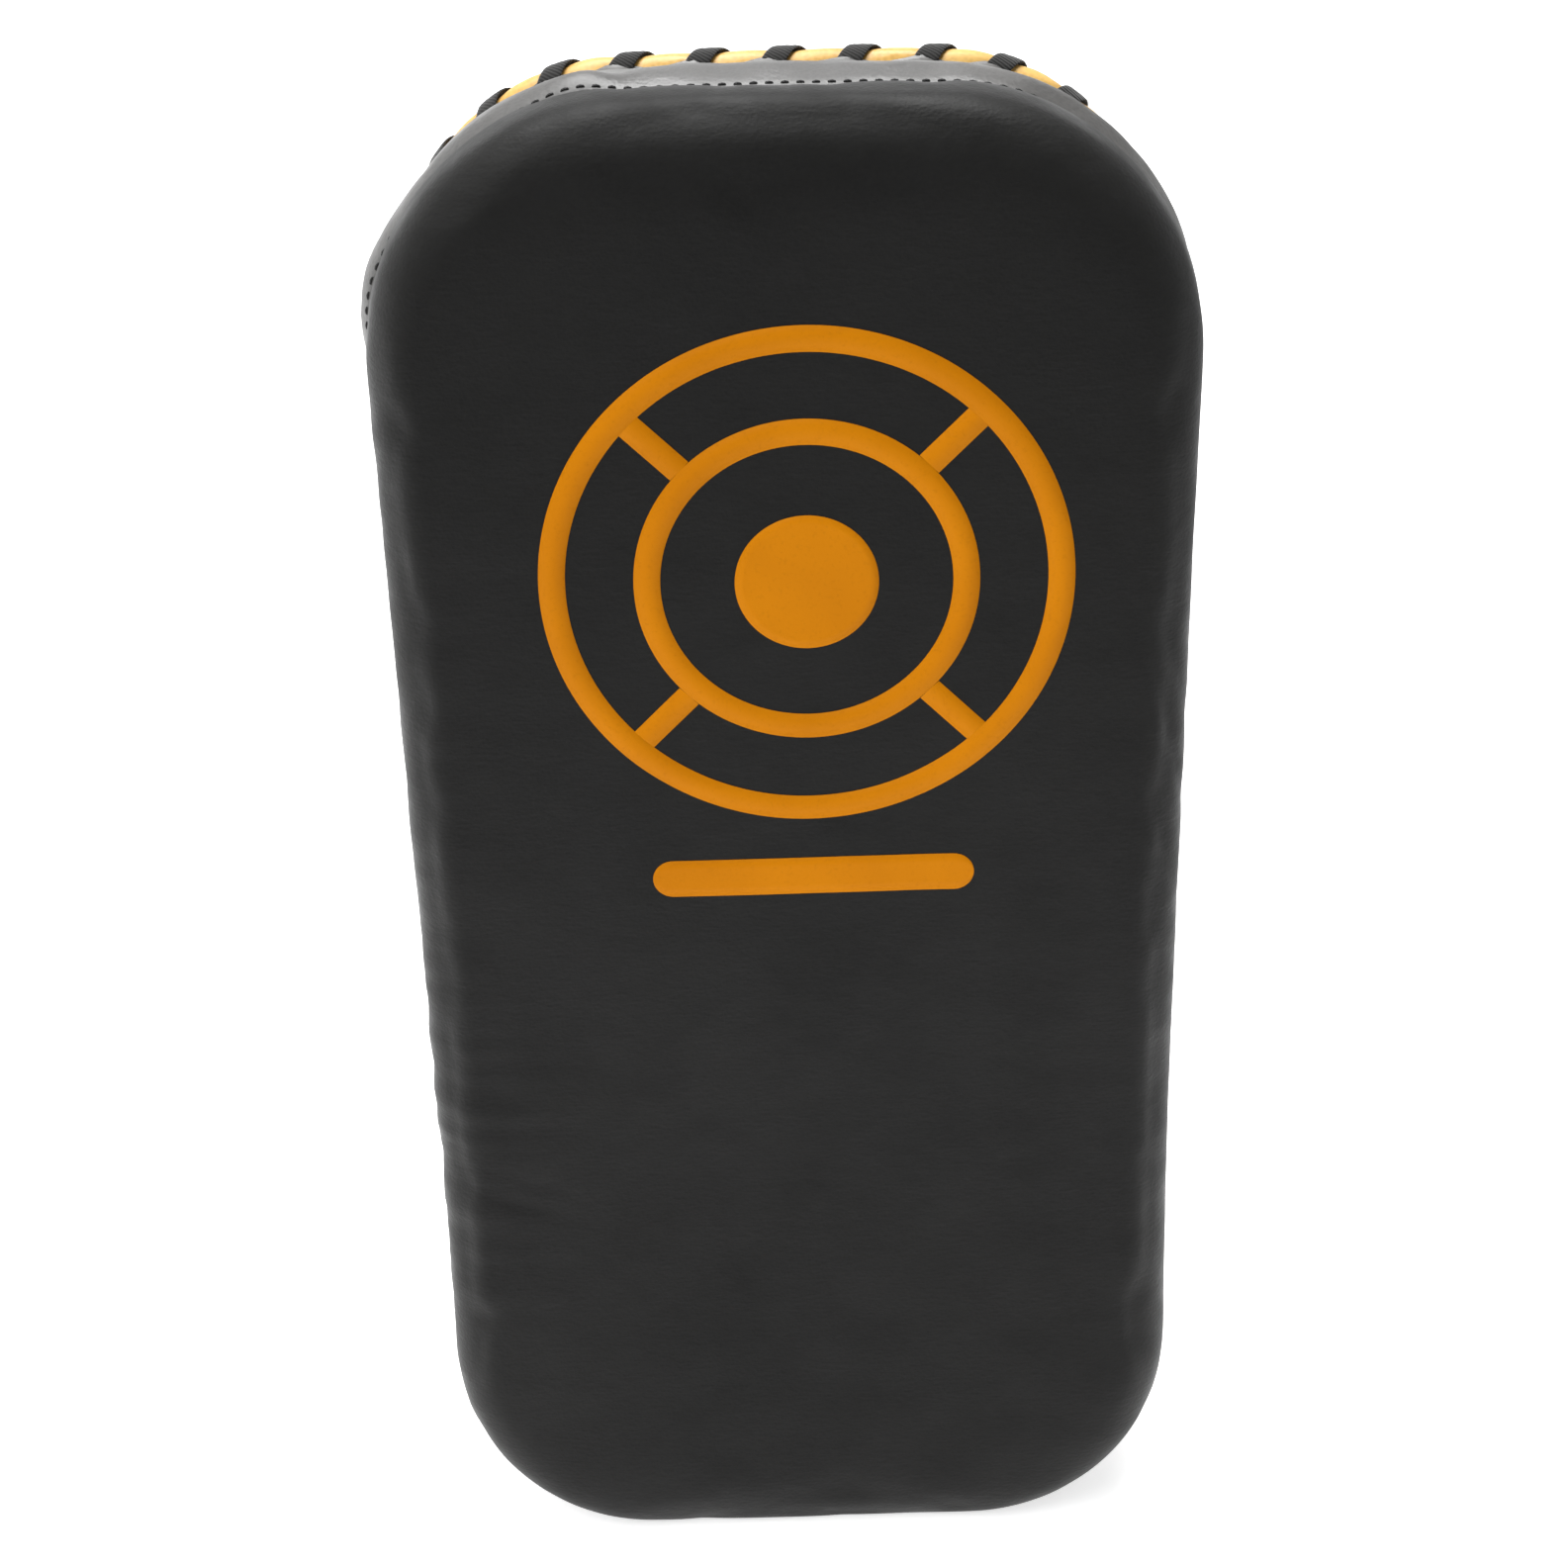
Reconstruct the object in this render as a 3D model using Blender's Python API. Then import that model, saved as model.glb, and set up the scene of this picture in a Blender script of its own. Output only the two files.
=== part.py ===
"""Curved kick pad: a foam block in a leather case with a laced rim, a grip handle and two cuffs.

The pad stands on its lower end. X runs across it, +Y from the strike face to the back, +Z up.
Pad pieces are given in flat-pad terms, across x, deep t and up z, and place() bends them.
"""

import math

import bmesh
import bpy
from mathutils import Vector

# ---------------------------------------------------------------- driving dimensions, metres
PAD_WIDTH = 0.200
SHELL_HEIGHT = 0.397
PAD_DEPTH = 0.0686
PAD_FRONT = -0.0802  # depth of the strike face, so that the origin lies mid-way front to back
TOP_CORNER = 0.060
FOOT_CORNER = 0.055
TOP_CROWN = 0.004
TOP_WALL_RISE = 0.004
UPPER_LEAN = math.radians(4.5)
LOWER_LEAN = math.radians(8.5)
BEND_HEIGHT = 0.090
BEND_SPREAD = 0.060

GAP = 0.0003
SKIN = 0.0015
EDGE_ROUND = 0.013
COVER_DEPTH = 0.026
GUSSET_START = COVER_DEPTH + GAP
GUSSET_STRAIGHT = 0.050
BOARD_THICKNESS = 0.003
PANEL_THICKNESS = 0.002
PANEL_INSET = 0.0126

ROLL_INSET = 0.006
ROLL_DEPTH = 0.067
ROLL_RADIUS = 0.0039
ROLL_SKIN = 0.0009
LACE_WIDTH = 0.007
LACE_THICKNESS = 0.0009
LACE_RADIUS = 0.0053
LACE_TURNS = 59
LACE_STEPS = 8

STRAP_WIDTH = 0.050
STRAP_THICKNESS = 0.003
UPPER_CUFF_HEIGHT = 0.235
LOWER_CUFF_HEIGHT = 0.115
CUFF_SIDE = 0.056
CUFF_SHOULDER = 0.034
CUFF_ARCH = 0.050
CUFF_PAD_THICKNESS = 0.007
CUFF_PAD_WIDTH = 0.044
TOUCH_TAPE = 0.0012
FOOT_END = 0.082
FOLD_RADIUS = 0.005
KEEPER_PLY = 0.0016
KEEPER_WIDTH = 0.046
RING_LOW_BAR = 0.020
RING_WIRE = 0.002
RING_INSIDE = 0.054
STRAP_FOLD = 0.0043

HANDLE_HEIGHT = 0.330
GRIP_LIFT = 0.046
TILT_LIFT = 0.0064
GRIP_HALF = 0.048
CORE_HALF = 0.073
CORE_RADIUS = 0.007
GRIP_FOAM_RADIUS = 0.0130
GRIP_RADIUS = 0.0150
TAB_ACROSS = 0.062
TAB_WIDTH = 0.024
TAB_PLY = 0.0017
PATCH_HALF_WIDTH = 0.080
PATCH_HALF_HEIGHT = 0.034
PATCH_THICKNESS = 0.002

ARM_PAD_HALF = 0.040
ARM_PAD_LOW = 0.066
ARM_PAD_HIGH = 0.286
ARM_PAD_CORNER = 0.016
ARM_PAD_THICKNESS = 0.012

RIVET_HEAD = 0.005
RIVET_DOME = 0.0018
RIVET_SHANK = 0.002
RIVET_TAIL = 0.0035
RIVET_SIDES = 8
CUFF_RIVET_ACROSS = 0.073
CUFF_RIVET_UP = 0.014
HANDLE_RIVET_UP = 0.019

HALF_WIDTH = PAD_WIDTH / 2
CORNER_STEPS = 6
SIDE_LEVELS = (0.070, 0.085, 0.100, 0.115, 0.130, 0.150, 0.180, 0.220, 0.270, 0.320)
BOARD_BACK = PAD_DEPTH - PANEL_THICKNESS - GAP
BOARD_FRONT = BOARD_BACK - BOARD_THICKNESS

# colour (linear), roughness, metallic
PALETTE = {
    "black_leather": ((0.016, 0.015, 0.014), 0.55, 0.0),
    "side_leather": ((0.030, 0.029, 0.028), 0.50, 0.0),
    "yellow_leather": ((0.780, 0.430, 0.060), 0.45, 0.0),
    "black_lace": ((0.012, 0.012, 0.012), 0.85, 0.0),
    "grey_foam": ((0.180, 0.180, 0.190), 0.95, 0.0),
    "board": ((0.250, 0.170, 0.100), 0.80, 0.0),
    "touch_tape": ((0.014, 0.014, 0.014), 0.95, 0.0),
    "grip_rod": ((0.060, 0.060, 0.060), 0.60, 0.0),
    "steel": ((0.560, 0.560, 0.560), 0.30, 0.9),
}


# ---------------------------------------------------------------- the pad's bend
def bend(height):
    """Depth shift at a height: both ends come forward of a soft crease low on the pad."""

    def ramp(z):
        return 0.5 * (z + BEND_SPREAD * math.log(math.cosh((z - BEND_HEIGHT) / BEND_SPREAD)))

    lower = math.tan(LOWER_LEAN)
    upper = math.tan(UPPER_LEAN)
    return lower * height - (lower + upper) * (ramp(height) - ramp(0.0))


def bend_slope(height):
    """Slope of bend() at a height."""
    lower = math.tan(LOWER_LEAN)
    upper = math.tan(UPPER_LEAN)
    return lower - (lower + upper) * 0.5 * (1 + math.tanh((height - BEND_HEIGHT) / BEND_SPREAD))


def place(x, t, z):
    """World position of a flat-pad point; the top is crowned and rises towards the back."""
    share = max(0.0, 2 * z / SHELL_HEIGHT - 1) ** 2
    crown = TOP_CROWN * (1 - (x / HALF_WIDTH) ** 2)
    height = z + share * (crown + TOP_WALL_RISE * t / PAD_DEPTH)
    return Vector((x, PAD_FRONT + t + bend(height), height))


# ---------------------------------------------------------------- outlines
def arc(centre, radii, start, end, steps):
    """Points on an ellipse from one angle to another, in degrees, both ends included."""
    points = []
    for i in range(steps + 1):
        angle = math.radians(start + (end - start) * i / steps)
        points.append((centre[0] + radii[0] * math.cos(angle), centre[1] + radii[1] * math.sin(angle)))
    return points


def mirrored_loop(right):
    """A closed outline from its right half, which runs from the bottom to the top."""
    return right + [(-x, z) for x, z in reversed(right)]


def pad_loop(inset):
    """The pad's outline moved inward by inset."""
    foot = FOOT_CORNER - inset
    top = TOP_CORNER - inset
    top_centre = (HALF_WIDTH - TOP_CORNER, SHELL_HEIGHT - TOP_CORNER)
    right = arc((HALF_WIDTH - FOOT_CORNER, FOOT_CORNER), (foot, foot), -90, 0, CORNER_STEPS)
    right += [(HALF_WIDTH - inset, z) for z in SIDE_LEVELS]
    right += arc(top_centre, (top, top), 0, 90, CORNER_STEPS)
    right.append((top_centre[0] / 3, SHELL_HEIGHT - inset))
    return mirrored_loop(right)


def arm_pad_loop(inset):
    """The forearm pad's outline moved inward by inset."""
    radius = ARM_PAD_CORNER - inset
    side = ARM_PAD_HALF - ARM_PAD_CORNER
    right = arc((side, ARM_PAD_LOW + ARM_PAD_CORNER), (radius, radius), -90, 0, 3)
    levels = [z for z in SIDE_LEVELS if ARM_PAD_LOW + ARM_PAD_CORNER < z < ARM_PAD_HIGH - ARM_PAD_CORNER]
    right += [(ARM_PAD_HALF - inset, z) for z in levels]
    right += arc((side, ARM_PAD_HIGH - ARM_PAD_CORNER), (radius, radius), 0, 90, 3)
    return mirrored_loop(right)


def patch_loop(inset):
    """The handle patch's outline, chamfered at its corners."""
    across = PATCH_HALF_WIDTH - inset
    up = PATCH_HALF_HEIGHT - inset
    chamfer = 0.010
    right = [
        (across - chamfer, HANDLE_HEIGHT - up),
        (across, HANDLE_HEIGHT - up + chamfer),
        (across, HANDLE_HEIGHT + up - chamfer),
        (across - chamfer, HANDLE_HEIGHT + up),
    ]
    return mirrored_loop(right)


def bent_ring(outline, inset, depth):
    """One outline at one depth, bent into place."""
    return [place(x, depth, z) for x, z in outline(inset)]


# ---------------------------------------------------------------- making objects
def clear_scene():
    for item in list(bpy.data.objects):
        bpy.data.objects.remove(item)


def make_material(name, kind):
    colour, roughness, metallic = PALETTE[kind]
    material = bpy.data.materials.new(name + "_finish")
    material.use_nodes = True
    shader = material.node_tree.nodes["Principled BSDF"]
    shader.inputs["Base Color"].default_value = (*colour, 1.0)
    shader.inputs["Roughness"].default_value = roughness
    shader.inputs["Metallic"].default_value = metallic
    material.diffuse_color = (*colour, 1.0)
    return material


def add_object(name, mesh, kind):
    item = bpy.data.objects.new(name, mesh)
    bpy.context.collection.objects.link(item)
    item.data.materials.append(make_material(name, kind))
    return item


def solid(name, points, faces, kind, smooth_angle=35):
    """One closed solid with its faces turned outward."""
    work = bmesh.new()
    verts = [work.verts.new(point) for point in points]
    for face in faces:
        work.faces.new([verts[i] for i in face])
    bmesh.ops.recalc_face_normals(work, faces=work.faces)
    mesh = bpy.data.meshes.new(name)
    work.to_mesh(mesh)
    work.free()
    mesh.shade_smooth()
    mesh.set_sharp_from_angle(angle=math.radians(smooth_angle))
    return add_object(name, mesh, kind)


def band_faces(count, first, second):
    """Quads joining two rings of count points that start at two indices."""
    faces = []
    for i in range(count):
        j = (i + 1) % count
        faces.append((first + i, first + j, second + j, second + i))
    return faces


def strip_cap(count, start):
    """A mirrored outline filled with level strips from side to side."""
    half = count // 2
    faces = []
    for i in range(half - 1):
        faces.append((start + i, start + i + 1, start + count - 2 - i, start + count - 1 - i))
    return faces


def loft(name, rings, kind, capped):
    """A solid through mirrored rings: capped at both ends, or joined round into a closed tube."""
    count = len(rings[0])
    points = [point for ring in rings for point in ring]
    faces = []
    for k in range(len(rings) - 1):
        faces += band_faces(count, k * count, (k + 1) * count)
    if capped:
        faces += strip_cap(count, 0)
        faces += strip_cap(count, (len(rings) - 1) * count)
    else:
        faces += band_faces(count, (len(rings) - 1) * count, 0)
    return solid(name, points, faces, kind)


def profile_loft(name, outline, profile, kind, capped=True):
    """A pad solid whose profile is a list of (inset, depth)."""
    return loft(name, [bent_ring(outline, inset, depth) for inset, depth in profile], kind, capped)


def sided(path, distance):
    """A flat path moved sideways, to its left for a positive distance."""
    moved = []
    for i, (u, v) in enumerate(path):
        before = path[max(i - 1, 0)]
        after = path[min(i + 1, len(path) - 1)]
        run = math.hypot(after[0] - before[0], after[1] - before[1])
        step = distance / run
        moved.append((u - step * (after[1] - before[1]), v + step * (after[0] - before[0])))
    return moved


def across_strap(u, v, w):
    """A strap's path lies in the plane across the pad, and its width runs up the pad."""
    return (u, v, w)


def along_handle(u, v, w):
    """A handle tab's path lies in the plane up the pad, and its width runs across."""
    return (w, v, u)


def strip_solid(name, path, thickness, width, kind, axes=across_strap, origin=(0.0, 0.0), shift=0.0):
    """A flat strap of one thickness and width along a path, measured from its own origin."""
    sides = (sided(path, thickness / 2), sided(path, -thickness / 2))
    count = len(path)
    points = []
    for side in sides:
        for w in (shift - width / 2, shift + width / 2):
            points += [axes(u - origin[0], v - origin[1], w) for u, v in side]
    corners = (0, count, 3 * count, 2 * count)
    faces = []
    for i in range(count - 1):
        for k in range(4):
            a = corners[k] + i
            b = corners[(k + 1) % 4] + i
            faces.append((a, a + 1, b + 1, b))
    faces.append(corners)
    faces.append([corner + count - 1 for corner in corners])
    return solid(name, points, faces, kind)


def lathe(name, profile, kind, sides, closed=False):
    """A turned solid about the local Y axis from (radius, height) points."""
    points = []
    for radius, height in profile:
        for i in range(sides):
            angle = 2 * math.pi * i / sides
            points.append((radius * math.cos(angle), height, radius * math.sin(angle)))
    faces = []
    for k in range(len(profile) - 1):
        faces += band_faces(sides, k * sides, (k + 1) * sides)
    if closed:
        faces += band_faces(sides, (len(profile) - 1) * sides, 0)
    else:
        faces.append(list(range(sides)))
        faces.append([(len(profile) - 1) * sides + i for i in range(sides)])
    return solid(name, points, faces, kind)


# ---------------------------------------------------------------- the pad
def front_round(offset, lip):
    """Profile of the strike face's edge, offset inward, ending at depth lip."""
    radius = EDGE_ROUND - offset
    corner = [(EDGE_ROUND - radius * math.sin(a), EDGE_ROUND - radius * math.cos(a))
              for a in (math.radians(90 * i / 5) for i in range(6))]
    return corner + [(offset, lip)]


def build_case():
    outer = front_round(0.0, COVER_DEPTH)
    inner = front_round(SKIN, COVER_DEPTH)
    profile_loft("front_cover", pad_loop, outer + inner[::-1], "black_leather")

    wall = [
        (0.0, GUSSET_START),
        (0.0, GUSSET_STRAIGHT),
        (0.0012, 0.0555),
        (0.0044, 0.0605),
    ]
    lining = [(0.0056, 0.0598), (0.0027, 0.0550), (SKIN, GUSSET_STRAIGHT), (SKIN, GUSSET_START)]
    profile_loft("gusset_band", pad_loop, wall + lining, "side_leather", capped=False)


def build_filling():
    offset = SKIN + 0.0006
    first_end = 0.022
    second_end = 0.046
    impact = front_round(offset, first_end)
    profile_loft("foam_impact_layer", pad_loop, impact, "grey_foam")
    core = [(offset, first_end + GAP), (offset, second_end)]
    profile_loft("foam_core_layer", pad_loop, core, "grey_foam")
    rear = [
        (offset, second_end + GAP),
        (offset, GUSSET_STRAIGHT),
        (0.0042, 0.0560),
        (0.0138, BOARD_FRONT - GAP),
    ]
    profile_loft("foam_rear_layer", pad_loop, rear, "grey_foam")


def build_back():
    board = [(0.0132, BOARD_FRONT), (0.0132, BOARD_BACK)]
    panel = [(PANEL_INSET, BOARD_BACK + GAP), (PANEL_INSET, PAD_DEPTH)]
    return [
        profile_loft("stiffener_board", pad_loop, board, "board"),
        profile_loft("back_panel", pad_loop, panel, "black_leather"),
    ]


def build_roll():
    centre = (ROLL_INSET, ROLL_DEPTH)
    outside = arc(centre, (ROLL_RADIUS, ROLL_RADIUS), -205, 115, 8)
    bore = ROLL_RADIUS - ROLL_SKIN
    inside = arc(centre, (bore, bore), 115, -205, 8)
    profile_loft("edge_roll_cover", pad_loop, outside + inside, "yellow_leather", capped=False)
    filler = bore - 2 * GAP
    rope = arc(centre, (filler, filler), 0, 300, 5)
    profile_loft("edge_roll_core", pad_loop, rope, "grey_foam", capped=False)


def rim_path():
    """The roll's centre line as points with their distance along it, starting at the foot."""
    outline = [place(x, ROLL_DEPTH, z) for x, z in pad_loop(ROLL_INSET)]
    start = (outline[0] + outline[-1]) / 2
    points = [start] + outline + [start]
    distances = [0.0]
    for before, after in zip(points, points[1:]):
        distances.append(distances[-1] + (after - before).length)
    return points, distances


def on_rim(points, distances, distance):
    """Centre and direction of the roll at a distance along it."""
    k = 0
    while k < len(points) - 2 and distances[k + 1] < distance:
        k += 1
    span = points[k + 1] - points[k]
    share = (distance - distances[k]) / (distances[k + 1] - distances[k])
    return points[k] + span * share, span.normalized()


def build_lacing():
    """One flat lace whipped round the roll; both ends lie hidden behind it."""
    rim, distances = rim_path()
    pitch = distances[-1] / LACE_TURNS
    steps = LACE_TURNS * LACE_STEPS - LACE_STEPS // 2
    back = Vector((0.0, 1.0, 0.0))

    def centre_line(step):
        turn = step / LACE_STEPS
        centre, along = on_rim(rim, distances, min((turn + 0.25) * pitch, distances[-1]))
        outward = along.cross(back).normalized()
        angle = 2 * math.pi * turn + math.radians(135)
        rearward = outward.cross(along).normalized()
        radial = outward * math.cos(angle) + rearward * math.sin(angle)
        return centre + radial * LACE_RADIUS, radial

    points = []
    for step in range(steps + 1):
        here, radial = centre_line(step)
        before = centre_line(max(step - 1, 0))[0]
        after = centre_line(min(step + 1, steps))[0]
        width = (after - before).cross(radial).normalized() * LACE_WIDTH / 2
        rise = radial * LACE_THICKNESS / 2
        points += [here - width - rise, here + width - rise, here + width + rise, here - width + rise]
    faces = []
    for step in range(steps):
        a = 4 * step
        b = a + 4
        inner = [(a, a + 1, b + 1), (a, b + 1, b)]
        outer = [(a + 2, a + 3, b + 2), (a + 3, b + 3, b + 2)]
        faces += inner + outer + [(a + 1, a + 2, b + 2, b + 1), (a + 3, a, b, b + 3)]
    faces.append((0, 1, 2, 3))
    faces.append([4 * steps + k for k in range(4)])
    solid("rim_lacing", points, faces, "black_lace")


# ---------------------------------------------------------------- what is fixed to the back
def back_mount(name, height):
    """An empty on the back at a height, with its own Y axis standing straight out of it."""
    mount = bpy.data.objects.new(name, None)
    bpy.context.collection.objects.link(mount)
    mount.location = place(0.0, PAD_DEPTH, height)
    mount.rotation_euler = (-math.atan(bend_slope(mount.location.z)), 0.0, 0.0)
    return mount


def fix(item, mount, location=(0.0, 0.0, 0.0)):
    item.parent = mount
    item.location = location
    return item


def build_rivet(name, mount, across, up, seat):
    """A domed rivet whose head sits at height seat and whose tail fills the board's hole."""
    head = [
        (RIVET_HEAD * 0.55, seat + RIVET_DOME),
        (RIVET_HEAD * 0.90, seat + RIVET_DOME * 0.6),
        (RIVET_HEAD, seat),
        (RIVET_SHANK, seat),
    ]
    tail_top = -PANEL_THICKNESS - GAP
    tail_end = tail_top - BOARD_THICKNESS + 2 * GAP
    tail = [(RIVET_SHANK, tail_top), (RIVET_TAIL, tail_top), (RIVET_TAIL, tail_end)]
    rivet = lathe(name, head + tail, "steel", RIVET_SIDES)
    return fix(rivet, mount, (across, 0.0, up))


def build_hole(mount, across, up):
    """Cutter for one rivet: clear of the shank, and wide in the board for the tail."""
    shank = RIVET_SHANK + GAP
    tail = RIVET_TAIL + GAP
    step = -PANEL_THICKNESS - GAP / 2
    profile = [(shank, 0.012), (shank, step), (tail, step), (tail, -0.012)]
    cutter = lathe("rivet_hole", profile, "steel", RIVET_SIDES)
    cutter.hide_render = True
    cutter.display_type = "WIRE"
    return fix(cutter, mount, (across, 0.0, up))


def cut(item, cutters):
    for cutter in cutters:
        boolean = item.modifiers.new("rivet_hole", "BOOLEAN")
        boolean.operation = "DIFFERENCE"
        boolean.object = cutter


def cuff_curve(offset, start, end, steps):
    """Points over the cuff's arch, moved outward by an offset that may vary with the angle."""
    across = (CUFF_SIDE + CUFF_SIDE - STRAP_FOLD) / 2
    centre = -STRAP_FOLD / 2
    points = []
    for i in range(steps + 1):
        angle = start + (end - start) * i / steps
        lift = offset(angle) if callable(offset) else offset
        x = math.cos(math.radians(angle))
        y = math.sin(math.radians(angle))
        push = Vector((x / across, y / CUFF_ARCH)).normalized() * lift
        points.append((centre + across * x + push[0], CUFF_SHOULDER + CUFF_ARCH * y + push[1]))
    return points


def build_ring(name, mount):
    """A rectangular wire ring that stands on edge, its bars running up the pad."""
    half_up = (RING_INSIDE + 2 * RING_WIRE) / 2
    half_out = (CUFF_SHOULDER - RING_LOW_BAR) / 2
    bend_radius = 0.0035
    centre_line = []
    for k, (side, up) in enumerate(((1, 1), (-1, 1), (-1, -1), (1, -1))):
        middle = (side * (half_out - bend_radius) + half_out, up * (half_up - bend_radius))
        centre_line += arc(middle, (bend_radius, bend_radius), 90 * k, 90 * k + 90, 3)
    points = []
    sides = 6
    count = len(centre_line)
    for i, (v, w) in enumerate(centre_line):
        before = centre_line[i - 1]
        after = centre_line[(i + 1) % count]
        run = Vector((after[0] - before[0], after[1] - before[1])).normalized()
        for k in range(sides):
            angle = 2 * math.pi * k / sides
            spread = RING_WIRE * math.cos(angle)
            points.append((RING_WIRE * math.sin(angle), v + spread * run[1], w - spread * run[0]))
    faces = []
    for i in range(count):
        faces += band_faces(sides, i * sides, (i + 1) % count * sides)
    ring = solid(name, points, faces, "steel")
    return fix(ring, mount, (CUFF_SIDE, RING_LOW_BAR, 0.0))


def cuff_strap_path():
    """From the riveted foot up the left side, over the arm and to the ring's upper bar."""
    floor = GAP + STRAP_THICKNESS / 2
    foot = [(-FOOT_END, floor)]
    foot += arc((-CUFF_SIDE - FOLD_RADIUS, floor + FOLD_RADIUS), (FOLD_RADIUS, FOLD_RADIUS), -90, 0, 4)
    over = cuff_curve(0.0, 180, 0, 18)
    turn = arc((CUFF_SIDE, CUFF_SHOULDER), (STRAP_FOLD, STRAP_FOLD), 195, 230, 2)
    return foot + over + turn


def keeper_path():
    """A strap doubled round the ring's lower bar, both plies lying under the rivets."""
    under = GAP + KEEPER_PLY / 2
    upper = under + KEEPER_PLY + GAP
    loop = RING_WIRE + GAP + KEEPER_PLY / 2
    outer = CUFF_SIDE + loop
    inner = CUFF_SIDE - loop
    turn = (FOLD_RADIUS, FOLD_RADIUS)
    path = [(FOOT_END, upper)]
    path += arc((outer + FOLD_RADIUS, upper + FOLD_RADIUS), turn, 270, 180, 4)
    path += arc((CUFF_SIDE, RING_LOW_BAR), (loop, loop), 0, 180, 6)
    path += arc((inner + FOLD_RADIUS, under + FOLD_RADIUS), turn, 180, 270, 4)
    path.append((FOOT_END, under))
    return path


def build_cuff(prefix, height):
    """One forearm cuff: strap, padding, ring in its keeper, and the tongue with touch tape."""
    mount = back_mount(prefix + "_cuff_mount", height)
    loop_lift = STRAP_THICKNESS / 2 + GAP + TOUCH_TAPE / 2
    hook_lift = loop_lift + TOUCH_TAPE + GAP
    tongue_lift = hook_lift + TOUCH_TAPE / 2 + GAP + STRAP_THICKNESS / 2
    axis = (CUFF_SIDE, CUFF_SHOULDER)

    def tongue_offset(angle):
        return tongue_lift + (2 * STRAP_FOLD - tongue_lift) * max(0.0, 1 - angle / 30) ** 2

    strap = fix(strip_solid(prefix + "_cuff_strap", cuff_strap_path(), STRAP_THICKNESS, STRAP_WIDTH,
                            "black_leather"), mount)
    pad_lift = -(STRAP_THICKNESS + CUFF_PAD_THICKNESS) / 2 - GAP
    fix(strip_solid(prefix + "_cuff_pad", cuff_curve(pad_lift, 172, 18, 10), CUFF_PAD_THICKNESS,
                    CUFF_PAD_WIDTH, "grey_foam"), mount)
    fix(strip_solid(prefix + "_loop_patch", cuff_curve(loop_lift, 150, 32, 10), TOUCH_TAPE,
                    STRAP_WIDTH - 0.006, "touch_tape"), mount)

    tongue_path = arc(axis, (STRAP_FOLD, STRAP_FOLD), -10, 0, 1) + cuff_curve(tongue_offset, 6, 96, 12)
    tongue = strip_solid(prefix + "_tongue", tongue_path, STRAP_THICKNESS, STRAP_WIDTH, "black_leather",
                         origin=axis)
    fix(tongue, mount, (*axis, 0.0))
    hook = strip_solid(prefix + "_hook_patch", cuff_curve(hook_lift, 48, 93, 6), TOUCH_TAPE,
                       STRAP_WIDTH - 0.008, "touch_tape", origin=axis)
    fix(hook, mount, (*axis, 0.0))

    keeper = fix(strip_solid(prefix + "_ring_keeper", keeper_path(), KEEPER_PLY, KEEPER_WIDTH,
                             "black_leather"), mount)
    build_ring(prefix + "_ring", mount)

    strap_seat = STRAP_THICKNESS + 2 * GAP
    keeper_seat = 2 * KEEPER_PLY + 3 * GAP
    holes = []
    for side, fixed, seat, label in ((-1, strap, strap_seat, "anchor"), (1, keeper, keeper_seat, "keeper")):
        for k, up in enumerate((CUFF_RIVET_UP, -CUFF_RIVET_UP)):
            across = side * CUFF_RIVET_ACROSS
            build_rivet(f"{prefix}_{label}_rivet_{k + 1}", mount, across, up, seat)
            hole = build_hole(mount, across, up)
            cut(fixed, [hole])
            holes.append(hole)
    return holes


def build_arm_pad():
    """A padded rest for the forearm between the cuffs' feet: a cover over a foam slab."""
    floor = PAD_DEPTH + GAP
    outer = [
        (0.006, PAD_DEPTH + ARM_PAD_THICKNESS),
        (0.002, PAD_DEPTH + 0.0102),
        (0.0, PAD_DEPTH + 0.006),
        (0.0, floor),
    ]
    inner = [
        (SKIN, floor),
        (SKIN, PAD_DEPTH + 0.0056),
        (0.0032, PAD_DEPTH + 0.0091),
        (0.0066, PAD_DEPTH + ARM_PAD_THICKNESS - SKIN),
    ]
    profile_loft("forearm_pad_cover", arm_pad_loop, outer + inner, "black_leather")
    slab = [
        (0.0021, floor),
        (0.0021, PAD_DEPTH + 0.0054),
        (0.0038, PAD_DEPTH + 0.0086),
        (0.0070, PAD_DEPTH + ARM_PAD_THICKNESS - SKIN - 2 * GAP),
    ]
    profile_loft("forearm_pad_foam", arm_pad_loop, slab, "grey_foam")


def handle_tab_path():
    """Two plies side by side that open into a loop round the grip's rod."""
    ply = TAB_PLY / 2 + GAP / 2
    low = TILT_LIFT + 0.0009
    loop = CORE_RADIUS + GAP + TAB_PLY / 2
    path = [(ply, low), (ply, GRIP_LIFT - 0.011)]
    path += arc((0.0, GRIP_LIFT), (loop, loop), -72, 252, 10)
    path += [(-ply, GRIP_LIFT - 0.011), (-ply, low)]
    return path


def handle_foot(name, mount, across):
    """The tab's riveted foot: two flanges with a low stand between them."""
    low = PATCH_THICKNESS + 2 * GAP
    high = low + TAB_PLY
    stand = TAB_PLY + GAP / 2
    reach = 0.030
    outline = [(-reach, low), (reach, low), (reach, high), (2 * stand, high), (stand, TILT_LIFT - 0.0006)]
    outline += [(-stand, TILT_LIFT - 0.0006), (-2 * stand, high), (-reach, high)]
    points = [(across + w, v, u) for w in (-TAB_WIDTH / 2, TAB_WIDTH / 2) for u, v in outline]
    count = len(outline)
    faces = band_faces(count, 0, count)
    faces.append(list(range(count)))
    faces.append(list(range(count, 2 * count)))
    return fix(solid(name, points, faces, "black_leather"), mount)


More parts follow.
